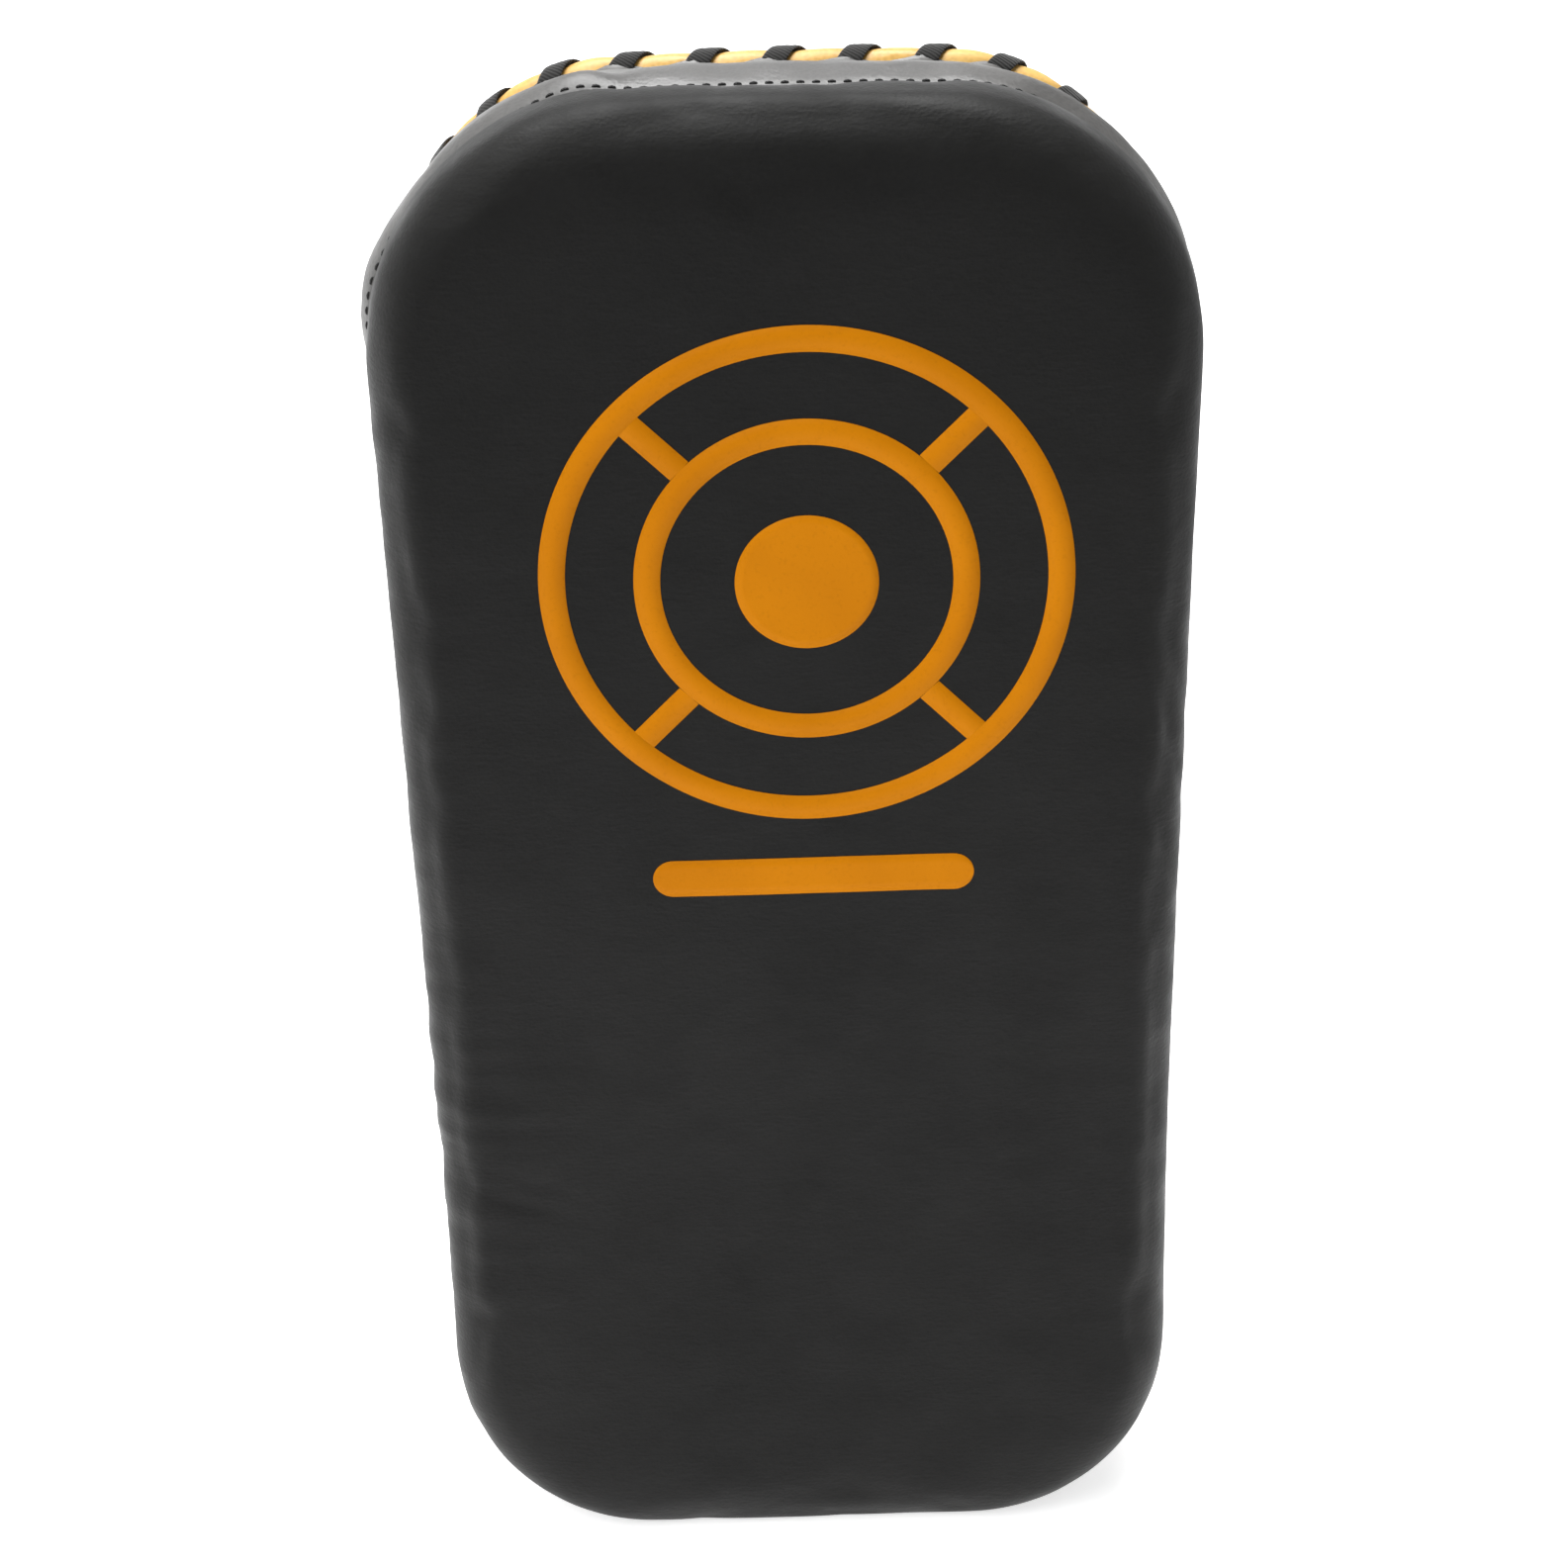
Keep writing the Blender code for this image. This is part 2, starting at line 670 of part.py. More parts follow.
def build_handle():
    """The grip hangs on two tabs that fold at their feet, so it tips up and down the pad."""
    mount = back_mount("handle_mount", HANDLE_HEIGHT)
    patch = profile_loft("handle_patch", patch_loop,
                         [(0.0, PAD_DEPTH + GAP), (0.0, PAD_DEPTH + GAP + PATCH_THICKNESS)], "side_leather")
    axis = (0.0, TILT_LIFT)
    seat = PATCH_THICKNESS + TAB_PLY + 3 * GAP
    holes = []
    for side, label in ((-1, "left"), (1, "right")):
        across = side * TAB_ACROSS
        foot = handle_foot("handle_foot_" + label, mount, across)
        tab = strip_solid("handle_tab_" + label, handle_tab_path(), TAB_PLY, TAB_WIDTH, "black_leather",
                          axes=along_handle, origin=axis, shift=across)
        fix(tab, mount, (0.0, TILT_LIFT, 0.0))
        for k, up in enumerate((HANDLE_RIVET_UP, -HANDLE_RIVET_UP)):
            build_rivet(f"handle_{label}_rivet_{k + 1}", mount, across, up, seat)
            hole = build_hole(mount, across, up)
            cut(foot, [hole])
            cut(patch, [hole])
            holes.append(hole)

    grip = bpy.data.objects.new("handle_tilt_axis", None)
    bpy.context.collection.objects.link(grip)
    fix(grip, mount, (0.0, TILT_LIFT, 0.0))
    lift = (0.0, GRIP_LIFT - TILT_LIFT, 0.0)
    chamfer = 0.001
    core = [
        (CORE_RADIUS - chamfer, -CORE_HALF),
        (CORE_RADIUS, -CORE_HALF + chamfer),
        (CORE_RADIUS, CORE_HALF - chamfer),
        (CORE_RADIUS - chamfer, CORE_HALF),
    ]
    sleeve = [
        (CORE_RADIUS + GAP, -GRIP_HALF),
        (GRIP_FOAM_RADIUS, -GRIP_HALF),
        (GRIP_FOAM_RADIUS, GRIP_HALF),
        (CORE_RADIUS + GAP, GRIP_HALF),
    ]
    bore = GRIP_FOAM_RADIUS + 2 * GAP
    wrap = [(bore, -GRIP_HALF), (GRIP_RADIUS, -GRIP_HALF), (GRIP_RADIUS, GRIP_HALF), (bore, GRIP_HALF)]
    turned = (
        lathe("grip_core", core, "grip_rod", 12),
        lathe("grip_foam", sleeve, "grey_foam", 16, closed=True),
        lathe("grip_wrap", wrap, "black_leather", 16, closed=True),
    )
    for item in turned:
        fix(item, grip, lift)
        item.rotation_euler = (0.0, 0.0, math.radians(90))
    return holes


def build():
    clear_scene()
    build_case()
    build_filling()
    backing = build_back()
    build_roll()
    build_lacing()
    build_arm_pad()
    holes = build_handle()
    holes += build_cuff("upper", UPPER_CUFF_HEIGHT)
    holes += build_cuff("lower", LOWER_CUFF_HEIGHT)
    for item in backing:
        cut(item, holes)


build()
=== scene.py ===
"""Looks of the curved kick pad: leather case, laced rim, grip handle and two forearm cuffs.

Pad pieces are worked out in flat-pad terms, across x, deep t and up z, and place() bends them.
Handle and cuff pieces are worked out on the back's own axes: across, straight out, up the pad.
"""

import math

import bmesh
import bpy
import numpy as np
from mathutils import Matrix, Vector, noise
from mathutils.bvhtree import BVHTree


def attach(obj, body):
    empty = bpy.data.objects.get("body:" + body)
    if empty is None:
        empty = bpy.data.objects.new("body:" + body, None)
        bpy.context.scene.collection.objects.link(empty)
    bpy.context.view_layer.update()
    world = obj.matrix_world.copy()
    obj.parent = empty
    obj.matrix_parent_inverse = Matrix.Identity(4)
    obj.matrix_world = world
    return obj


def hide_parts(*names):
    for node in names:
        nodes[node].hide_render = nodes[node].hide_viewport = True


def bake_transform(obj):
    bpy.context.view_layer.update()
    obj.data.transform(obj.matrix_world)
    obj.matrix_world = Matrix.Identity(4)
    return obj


noise.seed_set(7)

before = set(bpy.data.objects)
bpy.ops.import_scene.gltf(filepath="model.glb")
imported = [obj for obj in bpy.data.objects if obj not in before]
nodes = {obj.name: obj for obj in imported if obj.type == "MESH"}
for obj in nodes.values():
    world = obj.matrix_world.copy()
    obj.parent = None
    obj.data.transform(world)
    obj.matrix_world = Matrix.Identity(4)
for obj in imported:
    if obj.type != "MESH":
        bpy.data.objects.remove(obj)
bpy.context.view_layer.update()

# ---------------------------------------------------------------- dimensions, metres
HALF_WIDTH = 0.100
SHELL_HEIGHT = 0.397
PAD_DEPTH = 0.0686
PAD_FRONT = -0.0802
TOP_CORNER = 0.060
FOOT_CORNER = 0.055
TOP_CROWN = 0.004
TOP_WALL_RISE = 0.004
UPPER_SLOPE = math.tan(math.radians(4.5))
LOWER_SLOPE = math.tan(math.radians(8.5))
BEND_HEIGHT = 0.090
BEND_SPREAD = 0.060
GAP = 0.0003

EDGE_ROUND = 0.013
FACE_CROWN = 0.0012
SEAM_DEPTH = 0.0262
SPINE_LOW = 0.100
SPINE_HIGH = 0.300
SPINE_REACH = 0.94
BACK_EDGE = 0.0126
FLOOR_FLAT = 0.0012
COLUMNS = 276
FACE_RINGS = 22
BACK_RINGS = 20

ROLL_INSET = 0.006
ROLL_DEPTH = 0.067
ROLL_RADIUS = 0.0045
LACE_RADIUS = 0.0052
LACE_WIDTH = 0.0056
LACE_THICKNESS = 0.0009
LACE_TURNS = 59
LACE_DIVES = 0.36

PRINT_CENTRE = (0.004, 0.286)
PRINT_RINGS = ((0.0585, 0.0650, 180, False), (0.0355, 0.0420, 140, False), (0.0020, 0.0175, 96, True))
INK_LIFT = 0.00016
INK_DIP = -0.00010

STRAP_WIDTH = 0.050
STRAP_THICKNESS = 0.003
STITCH_ROWS = (-0.0215, 0.0215)
CUFF_HEIGHTS = {"upper": 0.235, "lower": 0.115}
CUFF_SIDE = 0.056
CUFF_SHOULDER = 0.034
CUFF_ARCH = 0.050
CUFF_PAD_THICKNESS = 0.007
CUFF_PAD_WIDTH = 0.044
TOUCH_TAPE = 0.0012
FOOT_END = 0.082
FOLD_RADIUS = 0.005
KEEPER_PLY = 0.0016
KEEPER_WIDTH = 0.046
RING_LOW_BAR = 0.020
RING_WIRE = 0.002
RING_INSIDE = 0.054
RING_BEND = 0.0035
STRAP_FOLD = 0.0043

HANDLE_HEIGHT = 0.330
GRIP_LIFT = 0.046
GRIP_HALF = 0.048
GRIP_RADIUS = 0.0150
CORE_HALF = 0.073
CORE_RADIUS = 0.007
TAB_ACROSS = 0.062
TAB_WIDTH = 0.024
TAB_PLY = 0.0017
TAB_BEND = 0.0026
PATCH_HALF_WIDTH = 0.080
PATCH_HALF_HEIGHT = 0.034
PATCH_THICKNESS = 0.002

ARM_PAD_HALF = 0.040
ARM_PAD_LOW = 0.066
ARM_PAD_HIGH = 0.286
ARM_PAD_CORNER = 0.016
ARM_PAD_SPINE = 0.036
ARM_PAD_RISE = 0.0119
ARM_PAD_SEAMS = (0.121, 0.176, 0.231)

RIVET_HEAD = 0.005
RIVET_DOME = 0.0018
CUFF_RIVET_ACROSS = 0.073
CUFF_RIVET_UP = 0.014
HANDLE_RIVET_UP = 0.019

STRAIGHT_OUT = (0.0, 1.0, 0.0)
SHARP_ANGLE = 50


# ---------------------------------------------------------------- the pad's bend and outline
def bend(height):
    """Depth shift at a height: both ends come forward of a soft crease low on the pad."""

    def ramp(z):
        return 0.5 * (z + BEND_SPREAD * np.log(np.cosh((z - BEND_HEIGHT) / BEND_SPREAD)))

    return LOWER_SLOPE * height - (LOWER_SLOPE + UPPER_SLOPE) * (ramp(height) - ramp(0.0))


def bend_slope(height):
    past = 1 + math.tanh((height - BEND_HEIGHT) / BEND_SPREAD)
    return LOWER_SLOPE - (LOWER_SLOPE + UPPER_SLOPE) * 0.5 * past


def place(x, t, z):
    """World positions of flat-pad points, as an array with one row each."""
    x, t, z = np.broadcast_arrays(np.asarray(x, float), np.asarray(t, float), np.asarray(z, float))
    share = np.maximum(0.0, 2 * z / SHELL_HEIGHT - 1) ** 2
    crown = TOP_CROWN * (1 - (x / HALF_WIDTH) ** 2)
    height = z + share * (crown + TOP_WALL_RISE * t / PAD_DEPTH)
    return np.stack([x, PAD_FRONT + t + bend(height), height], axis=-1)


BENDS = [float(bend(k / 1000 + 0.0005)) for k in range(420)]


def on_corner(x, z, radius, angle):
    c, s = math.cos(angle), math.sin(angle)
    return x + radius * c, z + radius * s, c, s


def rounded_walk(half, low, high, foot, top):
    """The way round an upright rectangle with rounded corners, from its lower middle.

    Its whole length, and a function that gives (x, z, outward x, outward z) at a distance.
    """
    foot_side, top_side = half - foot, half - top
    foot_arc, top_arc = math.pi / 2 * foot, math.pi / 2 * top
    wall = high - low - foot - top
    total = 2 * (foot_side + foot_arc + wall + top_arc + top_side)

    def at(distance):
        distance %= total
        flip = 1.0
        if distance > total / 2:
            distance = total - distance
            flip = -1.0
        if distance <= foot_side:
            found = (distance, low, 0.0, -1.0)
        elif (distance := distance - foot_side) <= foot_arc:
            found = on_corner(foot_side, low + foot, foot, distance / foot - math.pi / 2)
        elif (distance := distance - foot_arc) <= wall:
            found = (half, low + foot + distance, 1.0, 0.0)
        elif (distance := distance - wall) <= top_arc:
            found = on_corner(top_side, high - top, top, distance / top)
        else:
            found = (top_side - (distance - top_arc), high, 0.0, 1.0)
        return flip * found[0], found[1], flip * found[2], found[3]

    return total, at


def evenly_round(walk, count):
    """Evenly spaced rows of a walk: x, z, outward x and outward z."""
    total, at = walk
    return np.array([at(total * i / count) for i in range(count)])


PAD_WALK = rounded_walk(HALF_WIDTH, 0.0, SHELL_HEIGHT, FOOT_CORNER, TOP_CORNER)
GIRTH, outline_at = PAD_WALK
PAD_BASE = evenly_round(PAD_WALK, COLUMNS)


def inset_ring(base, inset, depth):
    """An outline moved inward by inset, at a depth; both may vary round it."""
    return place(base[:, 0] - inset * base[:, 2], depth, base[:, 1] - inset * base[:, 3])


def inward(base, inset, share, low, high, half=0.0):
    """x and z of an outline moved inward by inset, then a share of the way to its middle line."""
    x = base[:, 0] - inset * base[:, 2]
    z = base[:, 1] - inset * base[:, 3]
    middle = np.clip(base[:, 1], low, high)
    return np.clip(x, -half, half) * share + x * (1 - share), z + (middle - z) * share


def lace_phase(distance):
    """Turns of the lace at a distance along the outline."""
    return distance / GIRTH * LACE_TURNS - 0.25


def from_lace(distance):
    """Turns between a distance along the outline and the place where the lace goes under there."""
    return (lace_phase(distance) - LACE_DIVES + 0.5) % 1.0 - 0.5


def bump(value, spread):
    """1 at nought, falling away smoothly, for an array."""
    return np.exp(-((value / spread) ** 2))


def near(value, spread):
    """1 at nought, falling away smoothly, for a number."""
    return math.exp(-((value / spread) ** 2))


def ripple(x, y, z):
    """Smooth noise from -1 to 1."""
    return noise.noise(Vector((x, y, z)))


def between(a, b, share):
    """The flat point at a share of the way from a to b."""
    return a[0] + (b[0] - a[0]) * share, a[1] + (b[1] - a[1]) * share


def spokes(count):
    """Cosine and sine of evenly spaced angles."""
    angles = [2 * math.pi * k / count for k in range(count)]
    return [(math.cos(a), math.sin(a)) for a in angles]


# ---------------------------------------------------------------- making meshes
def mesh_object(name, points, faces, material, smooth=None):
    """A shaded object from points and faces, its faces turned outward."""
    mesh = bpy.data.meshes.new(name)
    mesh.from_pydata([tuple(p) for p in points], [], [tuple(int(i) for i in f) for f in faces])
    work = bmesh.new()
    work.from_mesh(mesh)
    bmesh.ops.remove_doubles(work, verts=work.verts, dist=1e-7)
    bmesh.ops.recalc_face_normals(work, faces=work.faces)
    work.to_mesh(mesh)
    work.free()
    mesh.shade_smooth()
    if smooth is not None:
        mesh.set_sharp_from_angle(angle=math.radians(smooth))
    item = bpy.data.objects.new(name, mesh)
    bpy.context.collection.objects.link(item)
    mesh.materials.append(material)
    return item


def grid_faces(rows, columns, start=0, round_columns=True, round_rows=False):
    faces = []
    for r in range(rows if round_rows else rows - 1):
        below = start + r * columns
        above = start + (r + 1) % rows * columns
        for c in range(columns if round_columns else columns - 1):
            d = (c + 1) % columns
            faces.append((below + c, below + d, above + d, above + c))
    return faces


def tube_faces(rows, columns, start=0):
    """Faces round a tube of rings and one over each end."""
    last = start + (rows - 1) * columns
    ends = [list(range(start, start + columns)), list(range(last, last + columns))]
    return grid_faces(rows, columns, start) + ends


def strip_cap(count, start):
    """A mirrored ring filled with level strips from side to side; the ring starts mid-way."""
    faces = [(start, start + 1, start + count - 1)]
    half = count // 2
    for i in range(1, half - 1):
        faces.append((start + i, start + i + 1, start + count - i - 1, start + count - i))
    faces.append((start + half - 1, start + half, start + half + 1))
    return faces


def read(mesh, field):
    """A three-number field of a mesh's points, as an array with one row each."""
    values = np.empty(len(mesh.vertices) * 3, np.float32)
    mesh.vertices.foreach_get(field, values)
    return values.reshape(-1, 3).astype(float)


def refine(item):
    """The object's mesh subdivided once, for good."""
    modifier = item.modifiers.new("fine", "SUBSURF")
    modifier.levels = 1
    modifier.render_levels = 1
    graph = bpy.context.evaluated_depsgraph_get()
    fine = bpy.data.meshes.new_from_object(item.evaluated_get(graph))
    item.modifiers.clear()
    old = item.data
    item.data = fine
    bpy.data.meshes.remove(old)
    fine.name = item.name
    fine.shade_smooth()


def set_wear_and_shade(item, values):
    """How much each point takes its leather's marked colour: wear, and on the roll painted shade beside the lace;
    skipped where merging points changed the count.
    """
    count = len(item.data.vertices)
    if np.ndim(values) == 0 or len(values) == count:
        attribute = item.data.attributes.new("wear", "FLOAT", "POINT")
        attribute.data.foreach_set("value", np.full(count, values, np.float32))


def tree_of(item):
    """A search tree over the faces of an object."""
    return BVHTree.FromObject(item, bpy.context.evaluated_depsgraph_get())


# ---------------------------------------------------------------- materials
class Nodes:
    """Short names for building one material's node tree."""

    def __init__(self, name):
        self.material = bpy.data.materials.new(name)
        self.material.use_nodes = True
        self.tree = self.material.node_tree
        self.shader = self.tree.nodes["Principled BSDF"]
        self.where = self.tree.nodes.new("ShaderNodeTexCoord").outputs["Object"]

    def feed(self, socket, value):
        """A socket's input: another node's output, a colour or a number."""
        if isinstance(value, bpy.types.NodeSocket):
            self.tree.links.new(value, socket)
        elif socket.type == "RGBA":
            socket.default_value = (*value, 1.0)
        else:
            socket.default_value = value

    def add(self, kind, inputs, **settings):
        node = self.tree.nodes.new("ShaderNode" + kind)
        for name, value in settings.items():
            setattr(node, name, value)
        for name, value in inputs.items():
            self.feed(node.inputs[name], value)
        return node

    def noise(self, scale, detail=3.0, stretch=(1, 1, 1)):
        spot = self.add("Mapping", {"Vector": self.where, "Scale": stretch}).outputs["Vector"]
        inputs = {"Vector": spot, "Scale": scale, "Detail": detail, "Roughness": 0.55}
        return self.add("TexNoise", inputs).outputs["Fac"]

    def cells(self, scale):
        return self.add("TexVoronoi", {"Vector": self.where, "Scale": scale}).outputs["Distance"]

    def wave(self, scale, distortion):
        inputs = {"Vector": self.where, "Scale": scale, "Distortion": distortion}
        return self.add("TexWave", inputs, bands_direction="DIAGONAL").outputs["Fac"]

    def math(self, kind, a, b, clamp=False):
        return self.add("Math", {0: a, 1: b}, operation=kind, use_clamp=clamp).outputs[0]

    def between(self, source, low, high, from_low=0.0, from_high=1.0):
        """source, from one range to another."""
        inputs = {"Value": source, "To Min": low, "To Max": high, "From Min": from_low, "From Max": from_high}
        return self.add("MapRange", inputs).outputs["Result"]

    def mix(self, share, a, b):
        """Two colours mixed by a share."""
        node = self.add("Mix", {"Factor": share}, data_type="RGBA")
        for socket, value in zip([s for s in node.inputs if s.type == "RGBA"], (a, b)):
            self.feed(socket, value)
        return [s for s in node.outputs if s.type == "RGBA"][0]

    def bump(self, *heights):
        """Bumps one on another from (height, distance, strength) rows."""
        below = None
        for height, distance, strength in heights:
            inputs = {"Height": height, "Distance": distance, "Strength": strength}
            if below is not None:
                inputs["Normal"] = below
            below = self.add("Bump", inputs).outputs["Normal"]
        self.feed(self.shader.inputs["Normal"], below)

    def finish(self, colour, roughness, **constants):
        self.feed(self.shader.inputs["Base Color"], colour)
        self.feed(self.shader.inputs["Roughness"], roughness)
        for name, value in constants.items():
            self.shader.inputs[name.replace("_", " ")].default_value = value
        return self.material


def leather(name, colour, light, rough, grain, depth, wear_and_shade, level):
    """Grained coated leather: pebbles, finer pores, cloudy patches, and a marked colour that is lighter wear on
    most pieces and painted shade where the lace pinches the yellow roll.
    """
    n = Nodes(name)
    body = n.mix(n.between(n.noise(14.0, 4.0), 0.0, 1.0, 0.35, 0.65), colour, light)
    pebbles = n.cells(grain)
    body = n.mix(n.between(pebbles, 0.0, 0.25, 0.1, 0.7), body, tuple(c * 1.7 for c in light))
    if wear_and_shade is not None:
        # the wear attribute marks real wear, and on the roll the painted shade beside the lace
        marked = n.add("Attribute", {}, attribute_name="wear").outputs["Fac"]
        body = n.mix(n.math("MULTIPLY", marked, n.noise(240.0, 4.0), True), body, wear_and_shade)
    haze = n.noise(48.0, 6.0, (1.0, 1.0, 1.6))
    uneven = n.noise(70.0)
    strands = n.noise(grain * 0.26, 4.0, (1.0, 1.0, 3.6))
    fine = n.noise(grain * 2.2, 2.0)
    n.bump((uneven, 0.0006, 0.35), (strands, depth * 2.2, 0.55), (pebbles, depth, 0.45),
           (fine, depth * 0.5, 0.35))
    roughness = n.between(haze, rough - 0.10, rough + 0.10, 0.33, 0.67)
    return n.finish(body, roughness, Specular_IOR_Level=level, Sheen_Weight=0.05, Sheen_Roughness=0.6)


def two_tone(name, pattern, span, colours, relief, rough, level):
    """One pattern for colour and bumps; rough is the scale of its own noise, or None, and a range."""
    n = Nodes(name)
    shape = pattern(n)
    n.bump((shape, *relief))
    scale, low, high = rough
    rough_by = shape if scale is None else n.noise(scale)
    colour = n.mix(n.between(shape, 0.0, 1.0, *span), *colours)
    return n.finish(colour, n.between(rough_by, low, high), Specular_IOR_Level=level)


LEATHERS = {
    # name: colour, lighter patches, roughness, grain scale, grain depth, colour where marked (wear, or painted
    # shade on the roll), specular level
    "strike": ((0.0034, 0.0034, 0.0032), (0.0054, 0.0053, 0.0050), 0.50, 1050.0, 0.00009,
               (0.013, 0.013, 0.012), 0.14),
    # side leather: all three colours raised well above black, painted sheen standing in for the grey grazing
    # reflection of the top light on the black gusset
    "side": ((0.022, 0.0215, 0.0205), (0.060, 0.058, 0.055), 0.42, 900.0, 0.00010,
             (0.110, 0.106, 0.100), 0.8),
    "back": ((0.0050, 0.0049, 0.0047), (0.0085, 0.0083, 0.0080), 0.50, 800.0, 0.00012, None, 0.5),
    "strap": ((0.0048, 0.0047, 0.0046), (0.0090, 0.0088, 0.0085), 0.44, 700.0, 0.00012,
              (0.020, 0.019, 0.018), 0.5),
    # yellow: its marked colour is darker, painted shade where the lace pinches the roll
    "yellow": ((0.500, 0.265, 0.050), (0.600, 0.370, 0.100), 0.38, 800.0, 0.00006,
               (0.36, 0.165, 0.028), 0.5),
}


def greys(*levels):
    return [(level,) * 3 for level in levels]


def make_finishes():
    made = {key: leather(key + "_leather", *row) for key, row in LEATHERS.items()}
    made["thread"] = two_tone("thread", lambda n: n.wave(900.0, 0.6), (0.0, 1.0), greys(0.004, 0.014),
                              (0.0001, 0.6), (1500.0, 0.5, 0.8), 0.4)
    made["foam"] = two_tone("foam", lambda n: n.cells(1600.0), (0.1, 0.6),
                            ((0.10, 0.10, 0.11), (0.21, 0.21, 0.22)), (0.0003, 0.7), (200.0, 0.88, 0.98), 0.2)
    made["board"] = two_tone("pressed_board", lambda n: n.noise(260.0, 4.0, (1.0, 1.0, 0.12)), (0.0, 1.0),
                             ((0.16, 0.10, 0.055), (0.32, 0.22, 0.13)), (0.0001, 0.5), (90.0, 0.7, 0.9), 0.3)
    made["hook_tape"] = two_tone("hook_tape", lambda n: n.cells(1250.0), (0.05, 0.5), greys(0.030, 0.006),
                                 (0.0004, 0.9), (500.0, 0.5, 0.75), 0.35)
    made["rod"] = two_tone("grip_rod", lambda n: n.noise(500.0, 3.0, (0.05, 1.0, 1.0)), (0.0, 1.0),
                           ((0.020, 0.020, 0.021), (0.050, 0.050, 0.052)), (0.00006, 0.4),
                           (None, 0.35, 0.55), 0.5)

    n = Nodes("woven_lace")
    weave = n.wave(420.0, 1.2)
    fuzz = n.noise(2400.0, 2.0)
    colour = n.mix(weave, (0.0065, 0.0062, 0.0060), (0.017, 0.0165, 0.016))
    colour = n.mix(n.between(n.noise(30.0), 0.0, 0.5, 0.4, 0.7), colour, (0.024, 0.022, 0.021))
    n.bump((weave, 0.0002, 0.6), (fuzz, 0.00008, 0.5))
    made["lace"] = n.finish(colour, n.between(fuzz, 0.75, 0.95), Specular_IOR_Level=0.25, Sheen_Weight=0.25,
                            Sheen_Roughness=0.5)

    n = Nodes("screen_ink")
    speckle = n.noise(900.0, 4.0)
    patches = n.between(n.noise(22.0), 0.0, 1.0, 0.35, 0.65)
    colour = n.mix(patches, (0.550, 0.180, 0.0003), (0.620, 0.208, 0.0005))
    colour = n.mix(n.between(speckle, 0.0, 0.35, 0.55, 0.80), colour, (0.400, 0.128, 0.0004))
    n.bump((n.cells(1050.0), 0.00006, 0.35), (speckle, 0.00004, 0.3))
    made["ink"] = n.finish(colour, n.between(speckle, 0.45, 0.65), Specular_IOR_Level=0.07)

    n = Nodes("loop_tape")
    loops = n.cells(2100.0)
    clumps = n.noise(420.0, 4.0)
    n.bump((clumps, 0.0005, 0.7), (loops, 0.0003, 0.9))
    made["loop_tape"] = n.finish(n.mix(loops, *greys(0.006, 0.028)), n.between(clumps, 0.88, 1.0),
                                 Specular_IOR_Level=0.15, Sheen_Weight=0.7, Sheen_Roughness=0.4)

    for label, low, high in (("ring_steel", 0.42, 0.62), ("rivet_steel", 0.50, 0.70)):
        n = Nodes(label)
        haze = n.noise(180.0, 4.0)
        n.bump((n.noise(900.0, 3.0, (1.0, 1.0, 0.08)), 0.00003, 0.3))
        colour = n.mix(haze, (low, low, low * 0.99), (high, high * 0.985, high * 0.96))
        made[label] = n.finish(colour, n.between(haze, 0.16, 0.36), Metallic=1.0)
    return made


finish_of = make_finishes()


def fit(item, body, slot, *replaced):
    """An object that rides a body and stands for CAD nodes."""
    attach(item, body)
    if replaced:
        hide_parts(*replaced)
    return item


# ---------------------------------------------------------------- stitches
THREAD_ROUND = spokes(6)
THREAD_RADIUS = 0.0004
# share of the thread's length, rise in radii, thickness in radii
THREAD_SHAPE = (
    (0.0, -1.3, 0.55), (0.14, -0.2, 1.0), (0.5, 0.25, 1.05), (0.86, -0.2, 1.0), (1.0, -1.3, 0.55),
)


def sew(name, rows, body, slot, radius=THREAD_RADIUS):
    """Short threads from (start, end, out) rows, each a capsule whose ends dip into the leather."""
    points = []
    faces = []
    for start, end, out in rows:
        start, end, out = Vector(start), Vector(end), Vector(out)
        run = end - start
        length = run.length
        run.normalize()
        across = run.cross(out).normalized()
        faces += tube_faces(len(THREAD_SHAPE), len(THREAD_ROUND), len(points))
        for share, rise, fat in THREAD_SHAPE:
            centre = start + run * (length * share) + out * (radius * rise)
            points += [centre + (across * c + out * s) * radius * fat for c, s in THREAD_ROUND]
    return fit(mesh_object(name, points, faces, finish_of["thread"]), body, slot)


def threads_round(count, length, spot, out=None):
    """Rows for sew() round the pad; spot gives a thread's end from a place on the outline."""
    rows = []
    for i in range(count):
        distance = GIRTH * (i + 0.5) / count
        ends = [spot(*outline_at(distance + step * length)) for step in (-0.5, 0.5)]
        _, _, out_x, out_z = outline_at(distance)
        rows.append((*ends, out or (out_x, 0.0, out_z)))
    return rows


# ---------------------------------------------------------------- soft skins
CLOTH = {
    "quality": 6,
    "mass": 0.25,
    "tension_stiffness": 30,
    "compression_stiffness": 25,
    "shear_stiffness": 15,
    "bending_stiffness": 1.5,
    "tension_damping": 12,
    "compression_damping": 12,
    "shear_damping": 12,
    "vertex_group_mass": "held",
    "pin_stiffness": 1.0,
    "use_pressure": True,
    "shrink_min": -0.012,
}
CLOTH_FRAMES = 20


